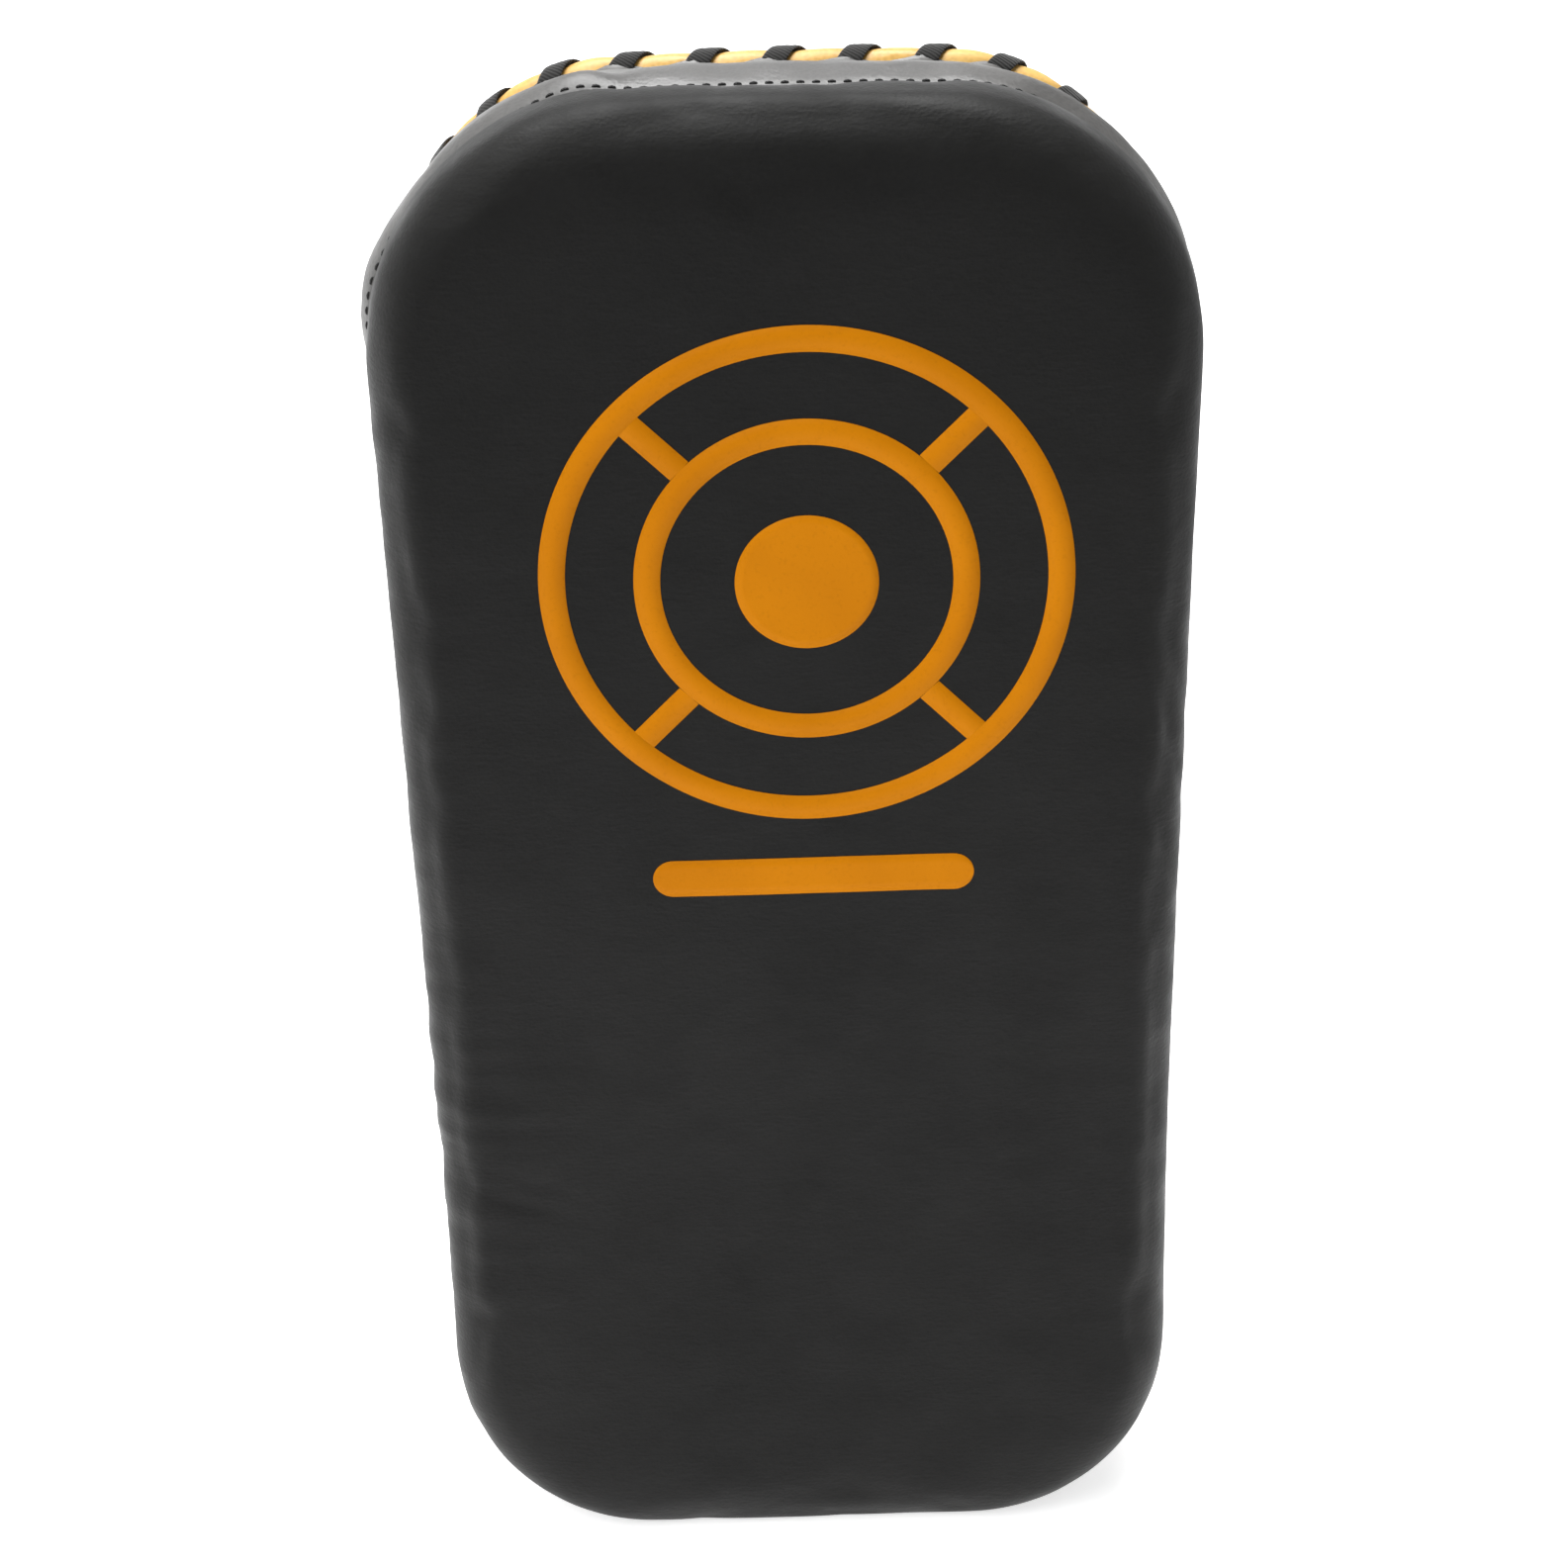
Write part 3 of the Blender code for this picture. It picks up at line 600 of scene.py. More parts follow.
def soften(points, faces, held, pressure):
    """The same closed skin after a short cloth simulation under inside pressure."""
    skin = mesh_object("skin_under_pressure", points, faces, finish_of["strike"])
    group = skin.vertex_groups.new(name="held")
    group.add([int(i) for i in np.flatnonzero(held)], 1.0, "REPLACE")
    cloth = skin.modifiers.new("cloth", "CLOTH")
    for name, value in CLOTH.items():
        setattr(cloth.settings, name, value)
    cloth.settings.uniform_pressure_force = pressure
    cloth.settings.effector_weights.gravity = 0.0
    cloth.collision_settings.use_collision = False
    cloth.collision_settings.use_self_collision = False
    cloth.point_cache.frame_start = 1
    cloth.point_cache.frame_end = CLOTH_FRAMES
    for number in range(1, CLOTH_FRAMES + 1):
        bpy.context.scene.frame_set(number)
    graph = bpy.context.evaluated_depsgraph_get()
    moved = read(skin.evaluated_get(graph).data, "co")
    bpy.context.scene.frame_set(1)
    bpy.data.objects.remove(skin)
    return moved


def outside_of(points, faces):
    """Outward directions at the points of a closed skin."""
    mesh = bpy.data.meshes.new("normals")
    mesh.from_pydata([tuple(p) for p in points], [], faces)
    normals = read(mesh, "normal")
    bpy.data.meshes.remove(mesh)
    if np.sum((points - points.mean(axis=0)) * normals) < 0:
        normals = -normals
    return normals


def settled(points, faces, held, pressure, out_most, in_most, along_most):
    """Points of a skin after simulation, with limits outward, inward and along the surface."""
    normals = outside_of(points, faces)
    moved = soften(points, faces, held, pressure)
    if len(moved) != len(points):
        return points
    shift = moved - points
    out = np.sum(shift * normals, axis=1, keepdims=True)
    along = shift - out * normals
    size = np.linalg.norm(along, axis=1, keepdims=True)
    along = along / np.maximum(size, 1e-9) * (along_most * np.tanh(size / along_most))
    out = np.where(out > 0, out_most * np.tanh(out / out_most), -in_most * np.tanh(-out / in_most))
    return points + along + out * normals


def crumple(item, height_at):
    """Small creases raised or pressed into a finished skin; height_at takes x, depth and z."""
    points = read(item.data, "co")
    normals = read(item.data, "normal")
    for i, (x, y, z) in enumerate(points):
        depth = y - PAD_FRONT - BENDS[min(int(max(z, 0.0) * 1000), len(BENDS) - 1)]
        points[i] += normals[i] * height_at(x, depth, z)
    low = np.minimum(points[:, 2], FLOOR_FLAT)
    points[:, 2] += FLOOR_FLAT * (0.2 + 0.8 * np.exp((low / FLOOR_FLAT - 1) / 0.8)) - low
    item.data.vertices.foreach_set("co", np.asarray(points, np.float32).ravel())
    item.data.update()


def cover_creases(x, depth, z):
    """Cross wrinkles by the left edge, slanting creases by the right, and general unevenness."""
    left = min(1.0, max(0.0, (-x - 0.058) / 0.034))
    right = min(1.0, max(0.0, (x - 0.062) / 0.030))
    height = 0.00035 * ripple(x * 14, depth * 14, z * 14 + 4) + 0.00012 * ripple(x * 52, depth * 52, z * 52)
    height += 0.00075 * left * ripple(x * 16, depth * 30, z * 190) * near(z - 0.128, 0.042)
    height += 0.00022 * left * ripple(x * 20, depth * 40, z * 120)
    slant = (z - 0.262) + (x - 0.088) * 3.6
    for level, deep in ((0.0, 0.00042), (0.021, 0.00030), (-0.034, 0.00036)):
        waver = 0.004 * ripple(x * 60, level * 900, z * 30)
        height -= right * deep * near(slant - level + waver, 0.0050) * near(z - 0.245, 0.050)
    fold = (z - 0.104) + (x + 0.070) * 0.35
    height -= 0.00040 * near(fold, 0.0028) * near(x + 0.078, 0.016)
    height -= 0.00028 * near(fold - 0.007, 0.0024) * near(x + 0.074, 0.012)
    return height


def gusset_folds(x, depth, z):
    """Lengthwise folds of the slack side leather, and local puffs by its upper corners."""
    free = min(1.0, max(0.0, (depth - 0.0285) / 0.006)) * min(1.0, max(0.0, (0.0570 - depth) / 0.008))
    creases = abs(ripple(x * 55, depth * 90, z * 55 + 7))
    height = free * (0.00085 * ripple(x * 26, depth * 150, z * 26) - 0.00090 * max(0.0, 0.22 - creases))
    height += 0.0020 * near(x + 0.047, 0.009) * near(depth - 0.0315, 0.0050) * (z > 0.3)
    height += 0.0030 * near(x + 0.095, 0.012) * near(z - 0.352, 0.016) * near(depth - 0.036, 0.010)
    height -= 0.0012 * near(x + 0.099, 0.012) * near(z - 0.331, 0.0040) * near(depth - 0.034, 0.009)
    height += 0.0014 * near(x - 0.098, 0.012) * near(z - 0.330, 0.007) * near(depth - 0.034, 0.009)
    return height


# ---------------------------------------------------------------- the case
# (inset, depth) from the rounded edge to the seam, and from the seam to the rim's roll
FRONT_WALL = [
    (-0.0003, 0.0165), (-0.0004, 0.0200), (-0.0002, 0.0232), (0.0004, 0.0251), (0.0014, 0.0259),
    (0.0024, SEAM_DEPTH),
]
GUSSET_WALL = [
    (0.0014, 0.0265), (0.0004, 0.0273), (-0.0004, 0.0295), (-0.0010, 0.0330), (-0.0013, 0.0370),
    (-0.0009, 0.0410), (0.0000, 0.0450), (0.0011, 0.0490), (0.0022, 0.0527), (0.0031, 0.0562),
    (0.0039, 0.0586),
]
GUSSET_END_DEPTHS = [0.0625, 0.0640]


def face_rings():
    """Rings of the strike face, from its crowned middle out to where its edge starts to round."""
    rings = []
    for k in range(FACE_RINGS):
        share = SPINE_REACH * (1 - k / (FACE_RINGS - 1))
        x, z = inward(PAD_BASE, EDGE_ROUND, share, SPINE_LOW, SPINE_HIGH)
        rings.append(place(x, -FACE_CROWN * (1 - (1 - share) ** 2.4), z))
    return rings


def rounded_edge():
    """(inset, depth) round the strike face's edge."""
    angles = [math.radians(90 * i / 8) for i in range(1, 9)]
    return [(EDGE_ROUND - EDGE_ROUND * math.sin(a), EDGE_ROUND - EDGE_ROUND * math.cos(a)) for a in angles]


def gusset_end(distance, stage):
    """(inset, depth) where the gusset meets the roll; it lifts over the lace as it goes under."""
    beside = bump(from_lace(distance), 0.20)
    reach = ROLL_RADIUS + 0.0003 + 0.0012 * beside - 0.0006 * stage
    angle = np.radians(72 - 10 * beside - 14 * stage)
    return ROLL_INSET - reach * np.cos(angle), ROLL_DEPTH - reach * np.sin(angle)


def finish_skin(name, points, faces, kind, wear_and_shade, creases, node):
    item = mesh_object(name, points, faces, finish_of[kind])
    set_wear_and_shade(item, wear_and_shade)
    refine(item)
    crumple(item, creases)
    fit(item, "pad", kind + "_leather", node)
    return item


def build_case():
    distance = np.arange(COLUMNS) * GIRTH / COLUMNS
    front = rounded_edge() + FRONT_WALL
    rings = face_rings() + [inset_ring(PAD_BASE, *row) for row in front + GUSSET_WALL]
    rings += [inset_ring(PAD_BASE, *gusset_end(distance, stage)) for stage in (0.0, 1.0)]
    count = len(rings)
    seam = FACE_RINGS + len(front) - 1
    ring_of = np.repeat(np.arange(count), COLUMNS)
    points = np.concatenate(rings)
    faces = grid_faces(count, COLUMNS) + strip_cap(COLUMNS, 0) + strip_cap(COLUMNS, (count - 1) * COLUMNS)
    normals = outside_of(points, faces)
    held = ((ring_of == seam) | (ring_of >= count - 3)).astype(float)
    shaped = settled(points, faces, held, 3.0, 0.0013, 0.0004, 0.0012)
    from_middle = np.clip((ring_of - 7) / 11, 0, 1)
    to_roll = np.clip((count - 4 - ring_of) / 9, 0, 1) * 0.5
    share = np.where(ring_of > seam + 5, to_roll, from_middle)
    points = points + (shaped - points) * share[:, None]

    depths = [0.0] * FACE_RINGS + [depth for _, depth in front + GUSSET_WALL] + GUSSET_END_DEPTHS
    depth_of = np.repeat(np.array(depths), COLUMNS)
    to_rim = np.clip((depth_of - 0.040) / 0.020, 0, 1) * (ring_of > seam + 1)
    lift = to_rim * (0.0006 * np.cos(2 * math.pi * from_lace(np.tile(distance, count))))
    points = points + normals * lift[:, None]

    upper = ring_of <= seam
    lower = ring_of >= seam
    cover_faces = grid_faces(seam + 1, COLUMNS) + strip_cap(COLUMNS, 0)
    cover_wear = (0.5 * bump(depth_of - 0.004, 0.006) * (ring_of >= FACE_RINGS))[upper]
    cover = finish_skin("strike_cover", points[upper], cover_faces, "strike", cover_wear, cover_creases,
                        "front_cover")
    # the gusset's band by the roll takes the side leather's marked colour, a grey raised as painted sheen
    gusset = finish_skin("side_gusset", points[lower], grid_faces(count - seam, COLUMNS), "side",
                         0.6 * bump(depth_of[lower] - 0.060, 0.006), gusset_folds, "gusset_band")
    return cover, gusset


def build_seam_stitches(gusset):
    """Black threads sewn through the gusset just behind its seam."""
    tree = tree_of(gusset)

    def on_gusset(x, z, out_x, out_z):
        start = Vector(place(x + 0.02 * out_x, 0.0279, z + 0.02 * out_z))
        aim = Vector(place(x - 0.02 * out_x, 0.0279, z - 0.02 * out_z)) - start
        return tree.ray_cast(start, aim.normalized())[0]

    sew("seam_stitches", threads_round(300, 0.0023, on_gusset), "pad", "side_leather", 0.00038)


# ---------------------------------------------------------------- the laced rim
def rim_frame(distance):
    """Centre, outward, rearward and forward-along directions of the roll at a distance."""
    here = outline_at(distance)
    there = outline_at(distance + 0.0005)
    centre, ahead = (
        Vector(place(x - ROLL_INSET * out_x, ROLL_DEPTH, z - ROLL_INSET * out_z))
        for x, z, out_x, out_z in (here, there)
    )
    along = (ahead - centre).normalized()
    outward = Vector((here[2], 0.0, here[3]))
    outward = (outward - along * outward.dot(along)).normalized()
    rearward = outward.cross(along).normalized()
    if rearward.y < 0:
        rearward = -rearward
    return centre, outward, rearward


def lace_angle(turn):
    """Angle of the lace round the roll: 0 inward, 90 degrees rearward, 180 outward, 270 forward."""
    return 2 * math.pi * turn + math.radians(135)


def build_roll():
    """The rolled edge: pinched under the lace, puffed between, with a glued hem at its front; darker where
    pinched, which is painted shade of the lace.
    """
    count = LACE_TURNS * 14
    sides = 28
    hem = math.radians(222)
    points = []
    wear_and_shade = []
    for i in range(count):
        distance = GIRTH * i / count
        centre, outward, rearward = rim_frame(distance)
        turn = lace_phase(distance)
        for k in range(sides):
            angle = 2 * math.pi * k / sides
            off = (lace_angle(turn) - angle + math.pi) % (2 * math.pi) - math.pi
            pinch = near(off / (2 * math.pi) * GIRTH / LACE_TURNS, 0.0046)
            radius = ROLL_RADIUS - 0.0003 - 0.00045 * pinch
            radius += 0.00022 * (1 - pinch) * (1 + 0.6 * ripple(distance * 90, angle, 1.0))
            radius += 0.00030 / (1 + math.exp((angle - hem) * 22))
            radius += 0.00012 * ripple(distance * 260, angle * 2.5, 4.0)
            points.append(centre + (rearward * math.sin(angle) - outward * math.cos(angle)) * radius)
            # the pinch marks a darker yellow: painted shade under and beside the lace
            wear_and_shade.append(0.9 * pinch)
    item = mesh_object("edge_roll", points, grid_faces(count, sides, 0, True, True), finish_of["yellow"])
    set_wear_and_shade(item, wear_and_shade)
    fit(item, "pad", "yellow_leather", "edge_roll_cover")


def build_lacing():
    """One flat braided lace wound round the roll."""
    steps_each = 30
    steps = LACE_TURNS * steps_each - steps_each // 2
    pitch = GIRTH / LACE_TURNS
    section = []
    for c, s in spokes(12):
        wide = math.copysign(abs(c) ** 0.7, c)
        thick = math.copysign(abs(s) ** 0.8, s)
        section.append((wide * LACE_WIDTH / 2, thick * LACE_THICKNESS / 2))
    line = []
    for step in range(steps + 1):
        turn = step / steps_each
        centre, outward, rearward = rim_frame(min((turn + 0.25) * pitch, GIRTH))
        angle = lace_angle(turn)
        wander = 1 + 0.012 * ripple(turn * 1.7, 0.0, 2.0)
        radial = rearward * math.sin(angle) - outward * math.cos(angle)
        line.append((centre + radial * LACE_RADIUS * wander, radial))
    points = []
    for step, (here, radial) in enumerate(line):
        run = line[min(step + 1, steps)][0] - line[max(step - 1, 0)][0]
        across = run.cross(radial).normalized()
        up = across.cross(run).normalized()
        if up.dot(radial) < 0:
            up = -up
        for wide, thick in section:
            curl = -0.00012 * (wide / (LACE_WIDTH / 2)) ** 2
            points.append(here + across * wide + up * (thick + curl))
    item = mesh_object("edge_lacing", points, tube_faces(steps + 1, len(section)), finish_of["lace"])
    fit(item, "pad", "black_lace", "rim_lacing")


# ---------------------------------------------------------------- the print
def on_cover(tree, x, z, lift):
    """The point of the strike face at a place across and up, lifted off it."""
    hit, normal, _, _ = tree.ray_cast(Vector((x, -0.3, z)), Vector((0.0, 1.0, 0.0)))
    if normal.y > 0:
        normal = -normal
    return hit + normal * lift


def ink_band(tree, inner, outer, closed, whole):
    """Ink between two lines of the same number of points; its rim goes down into the leather.

    A whole patch has its middle filled, where a band has a rim there as well.
    """
    rows = []
    widest = max((Vector(a) - Vector(b)).length for a, b in zip(inner, outer))
    steps = max(2, int(widest / 0.0022))
    for k in range(steps + 1):
        share = k / steps
        rows.append([between(a, b, share) for a, b in zip(inner, outer)])
    points = [] if whole else [on_cover(tree, x, z, INK_DIP) for x, z in rows[0]]
    points += [on_cover(tree, x, z, INK_LIFT) for row in rows for x, z in row]
    points += [on_cover(tree, x, z, INK_DIP) for x, z in rows[-1]]
    faces = grid_faces(len(points) // len(inner), len(inner), 0, closed)
    return points, faces + ([list(range(len(inner)))] if whole else [])


def circle(radius, count):
    return [(PRINT_CENTRE[0] + radius * c, PRINT_CENTRE[1] + radius * s) for c, s in spokes(count)]


def build_print(cover):
    """A plain round target with a bar under it, printed on the strike face."""
    tree = tree_of(cover)
    bands = [(circle(inner, n), circle(outer, n), True, whole) for inner, outer, n, whole in PRINT_RINGS]
    for quarter in range(4):
        a = math.pi / 4 + quarter * math.pi / 2
        reach = Vector((math.cos(a), math.sin(a)))
        side = Vector((-reach.y, reach.x)) * 0.0032
        inner = [Vector(PRINT_CENTRE) + reach * (0.0420 + 0.0165 * k / 10) - side for k in range(11)]
        bands.append(([tuple(p) for p in inner], [tuple(p + side * 2) for p in inner], False, False))
    low, high = [], []
    half, rise, level = 0.041, 0.0052, 0.2045
    for k in range(81):
        x = -half * math.cos(math.pi * k / 80)
        end = max(0.0, abs(x) - (half - rise))
        y = math.sqrt(max(rise * rise - end * end, 1e-9))
        low.append((PRINT_CENTRE[0] + x, level - y))
        high.append((PRINT_CENTRE[0] + x, level + y))
    bands.append((low, high, False, False))
    points, faces = [], []
    for band in bands:
        more, quads = ink_band(tree, *band)
        faces += [[i + len(points) for i in q] for q in quads]
        points += more
    fit(mesh_object("target_print", points, faces, finish_of["ink"]), "pad", None)


# ---------------------------------------------------------------- the back
def build_back_skin():
    profile = ((0.0090, 0.0664), (0.0100, 0.0676), (0.0112, 0.0683), (BACK_EDGE, PAD_DEPTH))
    rings = [inset_ring(PAD_BASE, inset, depth) for inset, depth in profile]
    for k in range(1, BACK_RINGS + 1):
        x, z = inward(PAD_BASE, BACK_EDGE, SPINE_REACH * k / BACK_RINGS, SPINE_LOW, SPINE_HIGH)
        wave = np.array([0.00012 * ripple(a * 25, 0.0, b * 25) for a, b in zip(x, z)])
        rings.append(place(x, PAD_DEPTH + wave, z))
    faces = grid_faces(len(rings), COLUMNS) + strip_cap(COLUMNS, (len(rings) - 1) * COLUMNS)
    item = mesh_object("back_skin", np.concatenate(rings), faces, finish_of["back"])
    refine(item)
    fit(item, "pad", "back_leather", "back_panel")

    def inside_edge(x, z, out_x, out_z):
        return place(x - 0.0155 * out_x, PAD_DEPTH, z - 0.0155 * out_z)

    sew("back_stitches", threads_round(280, 0.0026, inside_edge, STRAIGHT_OUT), "pad", "back_leather")


def build_forearm_rest():
    """A quilted cushion: a wall, a piped shoulder and a crowned top with three sewn channels."""
    count = 132
    top_rings = 14
    base = evenly_round(
        rounded_walk(ARM_PAD_HALF, ARM_PAD_LOW, ARM_PAD_HIGH, ARM_PAD_CORNER, ARM_PAD_CORNER), count)
    floor = PAD_DEPTH + GAP
    wall = ((0.0002, 0.0), (-0.0006, 0.0020), (-0.0007, 0.0048), (-0.0003, 0.0077), (0.0008, 0.0102))
    edge = 0.0030
    rings = [inset_ring(base, inset, floor + rise) for inset, rise in (*wall, (edge, ARM_PAD_RISE))]
    for k in range(1, top_rings + 1):
        share = 0.95 * k / top_rings
        x, z = inward(base, edge, share, ARM_PAD_LOW + ARM_PAD_SPINE, ARM_PAD_HIGH - ARM_PAD_SPINE)
        crown = 0.0026 * (1 - (1 - share) ** 2.2)
        groove = sum(bump(z - level, 0.0042) for level in ARM_PAD_SEAMS)
        waves = np.array([ripple(a * 60, 1.0, b * 60) for a, b in zip(x, z)])
        rings.append(place(x, floor + ARM_PAD_RISE + crown - 0.0017 * groove + 0.0002 * waves, z))
    points = np.concatenate(rings)
    faces = grid_faces(len(rings), count) + strip_cap(count, (len(rings) - 1) * count) + strip_cap(count, 0)
    held = np.zeros(len(points))
    held[:2 * count] = 1.0
    for level in ARM_PAD_SEAMS:
        held[np.abs(points[:, 2] - level) < 0.003] = 1.0
    points = settled(points, faces, held, 2.0, 0.0010, 0.0004, 0.0006)
    item = mesh_object("forearm_rest", points, faces, finish_of["back"])
    refine(item)
    fit(item, "pad", "back_leather", "forearm_pad_cover")
    tree = tree_of(item)
    rows = []
    for level in ARM_PAD_SEAMS:
        for i in range(17):
            x = -0.034 + 0.068 * i / 16
            ends = [tree.ray_cast(Vector((x + step, 0.3, level)), Vector((0.0, -1.0, 0.0)))[0]
                    for step in (-0.0013, 0.0013)]
            rows.append((*ends, STRAIGHT_OUT))
    sew("forearm_rest_stitches", rows, "pad", "back_leather")


# ---------------------------------------------------------------- straps and other swept pieces
def on_back(height):
    """Axes of the back at a height: across, straight out, and up the pad."""
    spot = Vector(place(0.0, PAD_DEPTH, height))
    return Matrix.Translation(spot) @ Matrix.Rotation(-math.atan(bend_slope(spot.z)), 4, "X")


def arc(centre, radius, start, end, steps):
    points = []
    for i in range(steps + 1):
        a = math.radians(start + (end - start) * i / steps)
        points.append((centre[0] + radius * math.cos(a), centre[1] + radius * math.sin(a)))
    return points


def dense(path, spacing):
    """A path with points no further apart than spacing."""
    made = [path[0]]
    for a, b in zip(path, path[1:]):
        parts = max(1, int(math.ceil(math.dist(a, b) / spacing)))
        made += [between(a, b, k / parts) for k in range(1, parts + 1)]
    return made


def path_normals(path):
    normals = []
    for i in range(len(path)):
        a = path[max(i - 1, 0)]
        b = path[min(i + 1, len(path) - 1)]
        run = math.dist(a, b)
        normals.append((-(b[1] - a[1]) / run, (b[0] - a[0]) / run))
    return normals


def rounded_section(width, thickness, crown, edge):
    """(across, out) points round a strap's section, its edges rounded and its faces crowned."""
    flat = width / 2 - edge
    across = [-1 + 2 * k / 12 for k in range(13)]
    upper = [(u * flat, thickness / 2 + crown * (1 - u * u)) for u in across]
    turns = [math.pi / 2 - math.pi * k / 6 for k in range(1, 6)]
    right = [(flat + edge * math.cos(a), thickness / 2 * math.sin(a)) for a in turns]
    return upper + right + [(-w, -h) for w, h in upper + right]


def swept(name, matrix, path, section, kind, wear_and_shade=None, shape=None, shift=None):
    """A strap along a path straight out of the back: across it, or up it where shift is given."""
    points = []
    for i, ((u, v), (nu, nv)) in enumerate(zip(path, path_normals(path))):
        for w, h in section:
            if shape is not None:
                w, h = shape(i / (len(path) - 1), w, h)
            a, b = u + nu * h, v + nv * h
            points.append(matrix @ Vector((a, b, w) if shift is None else (w + shift, b, a)))
    faces = tube_faces(len(path), len(section))
    item = mesh_object(name, points, faces, finish_of[kind], SHARP_ANGLE)
    if wear_and_shade is not None:
        set_wear_and_shade(item, wear_and_shade)
    return item


def strap_threads(matrix, path, rise):
    """Rows for sew() along both edges of a strap, raised off its middle by rise."""
    pitch, skip = 0.0042, 0.004
    turn = matrix.to_3x3()
    normals = path_normals(path)
    lengths = [0.0]
    for a, b in zip(path, path[1:]):
        lengths.append(lengths[-1] + math.dist(a, b))

    def at(distance, w):
        i = 0
        while i < len(lengths) - 2 and lengths[i + 1] < distance:
            i += 1
        share = (distance - lengths[i]) / max(lengths[i + 1] - lengths[i], 1e-9)
        u, v = (path[i][n] + (path[i + 1][n] - path[i][n]) * share + normals[i][n] * rise for n in (0, 1))
        out = turn @ Vector((*normals[i], 0)) * math.copysign(1.0, rise)
        return matrix @ Vector((u, v, w)), out

    rows = []
    for w in STITCH_ROWS:
        distance = skip
        while distance < lengths[-1] - skip:
            start, out = at(distance, w)
            end, _ = at(distance + pitch * 0.62, w)
            rows.append((start, end, out))
            distance += pitch
    return rows


def build_rivet(node, matrix, across, up, seat):
    """A domed rivet head with a rolled rim and a small flat on top."""
    profile = [(0.0012, RIVET_DOME), (0.0026, RIVET_DOME * 0.93), (0.0037, RIVET_DOME * 0.74)]
    profile += [(0.0044, RIVET_DOME * 0.45), (0.0049, RIVET_DOME * 0.22), (RIVET_HEAD, 0.0002), (0.0049, -0.0001)]
    profile.append((0.0040, -0.0003))
    sides = 28
    points = [matrix @ Vector((across, seat + RIVET_DOME, up))]
    for radius, height in profile:
        points += [matrix @ Vector((across + radius * c, seat + height, up + radius * s))
                   for c, s in spokes(sides)]
    faces = [(0, 1 + k, 1 + (k + 1) % sides) for k in range(sides)]
    faces += grid_faces(len(profile), sides, 1)
    faces.append([1 + (len(profile) - 1) * sides + k for k in range(sides)])
    fit(mesh_object(node + "_head", points, faces, finish_of["rivet_steel"], 60), "pad", "rivet_steel", node)


# ---------------------------------------------------------------- the forearm cuffs
def cuff_curve(offset, start, end, steps):
    """Points over the cuff's arch, moved outward by an offset that may vary with the angle."""
    across = (CUFF_SIDE + CUFF_SIDE - STRAP_FOLD) / 2
    centre = -STRAP_FOLD / 2
    points = []
    for i in range(steps + 1):
        angle = start + (end - start) * i / steps
        lift = offset(angle) if callable(offset) else offset
        x = math.cos(math.radians(angle))
        y = math.sin(math.radians(angle))
        push = Vector((x / across, y / CUFF_ARCH)).normalized() * lift
        points.append((centre + across * x + push[0], CUFF_SHOULDER + CUFF_ARCH * y + push[1]))
    return points


def build_ring(prefix, matrix):
    """A rectangular wire ring that stands on edge, round in section."""
    half_up = (RING_INSIDE + 2 * RING_WIRE) / 2
    half_out = (CUFF_SHOULDER - RING_LOW_BAR) / 2
    line = []
    for k, (side, up) in enumerate(((1, 1), (-1, 1), (-1, -1), (1, -1))):
        middle = (side * (half_out - RING_BEND) + half_out, up * (half_up - RING_BEND))
        line += arc(middle, RING_BEND, 90 * k, 90 * k + 90, 8)
    line = dense(line + [line[0]], 0.004)[:-1]
    sides = 16
    points = []
    for i, (v, w) in enumerate(line):
        before = line[i - 1]
        after = line[(i + 1) % len(line)]
        run = Vector((after[0] - before[0], after[1] - before[1])).normalized()
        for c, s in spokes(sides):
            out = RING_LOW_BAR + v + RING_WIRE * c * run[1]
            points.append(matrix @ Vector((CUFF_SIDE + RING_WIRE * s, out, w - RING_WIRE * c * run[0])))
    faces = grid_faces(len(line), sides, 0, True, True)
    item = mesh_object(prefix + "_strap_ring", points, faces, finish_of["ring_steel"])
    fit(item, prefix + "_ring", "ring_steel", prefix + "_ring")


def quilt(share, w, h):
    """A cuff cushion's section: six sewn channels on its inner side, and rounded ends."""
    channel = abs(math.sin(math.pi * 6 * share)) ** 0.45
    end = min(1.0, min(share, 1 - share) / 0.03) ** 0.5
    inner = (0.62 + 0.38 * channel) if h < 0 else 1.0
    return w * (0.965 + 0.035 * channel) * (0.9 + 0.1 * end), h * inner * (0.35 + 0.65 * end)


def ragged(share, w, h):
    return w, h * (1 + 0.18 * ripple(share * 90, w * 400, h * 900))


def tapered(share, w, h):
    """A strap's section, rounded off over the last part of its length."""
    reach = 0.16
    end = max(0.0, (share - 1 + reach) / reach)
    half = math.sqrt(max(0.0, 1 - (end * 0.985) ** 4.0))
    return w * (0.25 + 0.75 * half if end > 0 else 1.0), h


